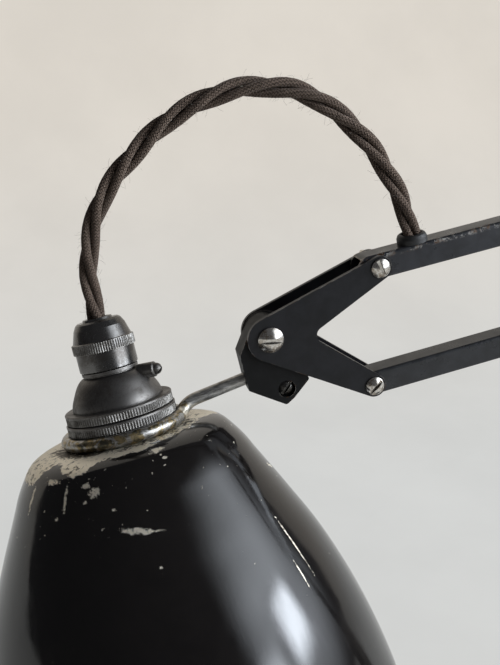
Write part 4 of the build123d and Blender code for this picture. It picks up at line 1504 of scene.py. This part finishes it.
@dataclass
class Studio:
    """The pale floor and wall, the soft lamps and the camera."""

    places: Places
    wall_colour: tuple = (0.758, 0.708, 0.636)
    floor_colour: tuple = (0.680, 0.688, 0.676)
    paper_colour: tuple = (0.62, 0.60, 0.56)
    ambient: tuple = (0.070, 0.070, 0.074)
    backdrop_share: float = 0.9
    mirrored_share: float = 0.75
    half_width: float = 3.0
    near: float = -2.5
    far: float = 1.4
    rise: float = 2.6
    bend: float = 0.7
    bend_rows: int = 16
    level: float = -0.0002
    aim: tuple = (-0.0063, 0.0, 0.0012)
    azimuth: float = math.radians(-12.2)
    elevation: float = math.radians(17.6)
    distance: float = 0.3024
    lens: float = 44.1
    clip_start: float = 0.01
    lamps: tuple = (
        SoftLamp("sky", (1.05, -0.50, 0.85), (1.8, 1.1), 3.7, (0.88, 0.94, 1.0)),
        SoftLamp("room", (1.35, -0.50, 0.55), (2.4, 1.7), 15.0, (0.86, 0.92, 1.0)),
        SoftLamp("window", (1.30, -0.48, 0.42), (0.62, 0.50), 6.5, (0.84, 0.91, 1.0)),
        SoftLamp("low_window", (0.95, -0.95, 0.22), (0.55, 0.6), 3.5, (0.86, 0.92, 1.0)),
    )

    def add_camera(self, target: Vector) -> None:
        """Adds the camera, looking at a target just beside the tilt screw.

        Args:
            target: what it looks at.
        """
        flat, up = math.cos(self.elevation), math.sin(self.elevation)
        back = Vector((flat * math.sin(self.azimuth), -flat * math.cos(self.azimuth), up))
        data = bpy.data.cameras.new("camera")
        data.lens, data.clip_start = self.lens, self.clip_start
        camera = placed("camera", data)
        camera.location = target + back * self.distance
        camera.rotation_euler = back.to_track_quat("Z", "Y").to_euler()
        bpy.context.scene.camera = camera

    def add_floor(self) -> None:
        """Adds a floor that curves up into a wall behind the lamp."""
        shell = Shell("studio_floor")
        start, bend = self.far - self.bend, self.bend
        profile = [(self.near, self.level), (start, self.level)]
        for index in range(1, self.bend_rows + 1):
            angle = math.pi / 2 * index / self.bend_rows
            profile.append((start + bend * math.sin(angle), bend - bend * math.cos(angle)))
        profile.append((self.far, self.rise))
        across = (-self.half_width, 0.0, self.half_width)
        rows = [shell.add_ring([Vector((x, y, z)) for x in across]) for y, z in profile]
        for low, high in zip(rows, rows[1:]):
            shell.bridge(low, high, closed=False)
        shell.make(self.floor_material())

    def floor_material(self) -> Material:
        """Pale paper whose colour shows as it is to the camera, in reflections and through glass.

        Returns:
            The material.
        """
        graph = Graph("studio_paper")
        place = graph.place()
        seen, mirrored = graph.seen()
        shade = graph.fade(graph.noise(place, 0.32, 5.0, 0.6), 0.3, 0.7, 0.965, 1.035)
        _, y, z = graph.parts(place)
        tone = graph.tint(graph.fade(y + z, 0.4, 1.9), self.floor_colour, self.wall_colour)
        tone = graph.read("ShaderNodeVectorMath", {0: tone, "Scale": shade}, operation="SCALE")
        paper = graph.read("ShaderNodeBsdfDiffuse", {"Color": self.paper_colour})
        glow = graph.read("ShaderNodeEmission", {"Color": tone})
        share = graph.math("MAXIMUM", seen * self.backdrop_share, mirrored * self.mirrored_share)
        mix = graph.read("ShaderNodeMixShader", {0: share, 1: paper, 2: glow})
        below = graph.read("ShaderNodeNewGeometry", {}, "Backfacing")
        clear = graph.read("ShaderNodeBsdfTransparent", {})
        graph.feed(graph.output.inputs["Surface"],
                   graph.read("ShaderNodeMixShader", {0: below, 1: mix, 2: clear}))
        return graph.material

    def add_world(self) -> None:
        """Sets a dim even sky behind a wall-coloured backdrop."""
        world = bpy.data.worlds.new("studio_world")
        world.use_nodes = True
        world.node_tree.nodes.clear()
        tree = Tree(world.node_tree)
        ambient = tree.read("ShaderNodeBackground", {"Color": self.ambient})
        backdrop = tree.read("ShaderNodeBackground", {"Color": self.wall_colour})
        mix = tree.read("ShaderNodeMixShader", {0: tree.seen()[0], 1: ambient, 2: backdrop})
        tree.add("ShaderNodeOutputWorld", {"Surface": mix})
        bpy.context.scene.world = world

    def build(self) -> None:
        """Builds the studio."""
        target = self.places.pivot("head_tilt") + Vector(self.aim)
        self.add_camera(target)
        self.add_floor()
        self.add_world()
        for lamp in self.lamps:
            lamp.build(target)
        bpy.context.scene.view_settings.view_transform = "Standard"
        LOG.info("studio built")


# ---------------- the lamp
def main() -> None:
    """Loads the lamp, dresses it and sets the studio round it."""
    logging.basicConfig(level=logging.INFO, format="%(name)s: %(message)s")
    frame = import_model()
    nodes = frame["nodes"]
    places = Places({joint["name"]: joint for joint in frame["joints"]})

    TwistedFlex(places).build()
    BellShade(places).build()
    Lampholder(places).build(nodes)
    ArmsAndHead(places).build(nodes)
    Springs(places).build(nodes)
    SteppedBase().build(nodes)
    Studio(places).build()


if __name__ == "__main__":
    main()
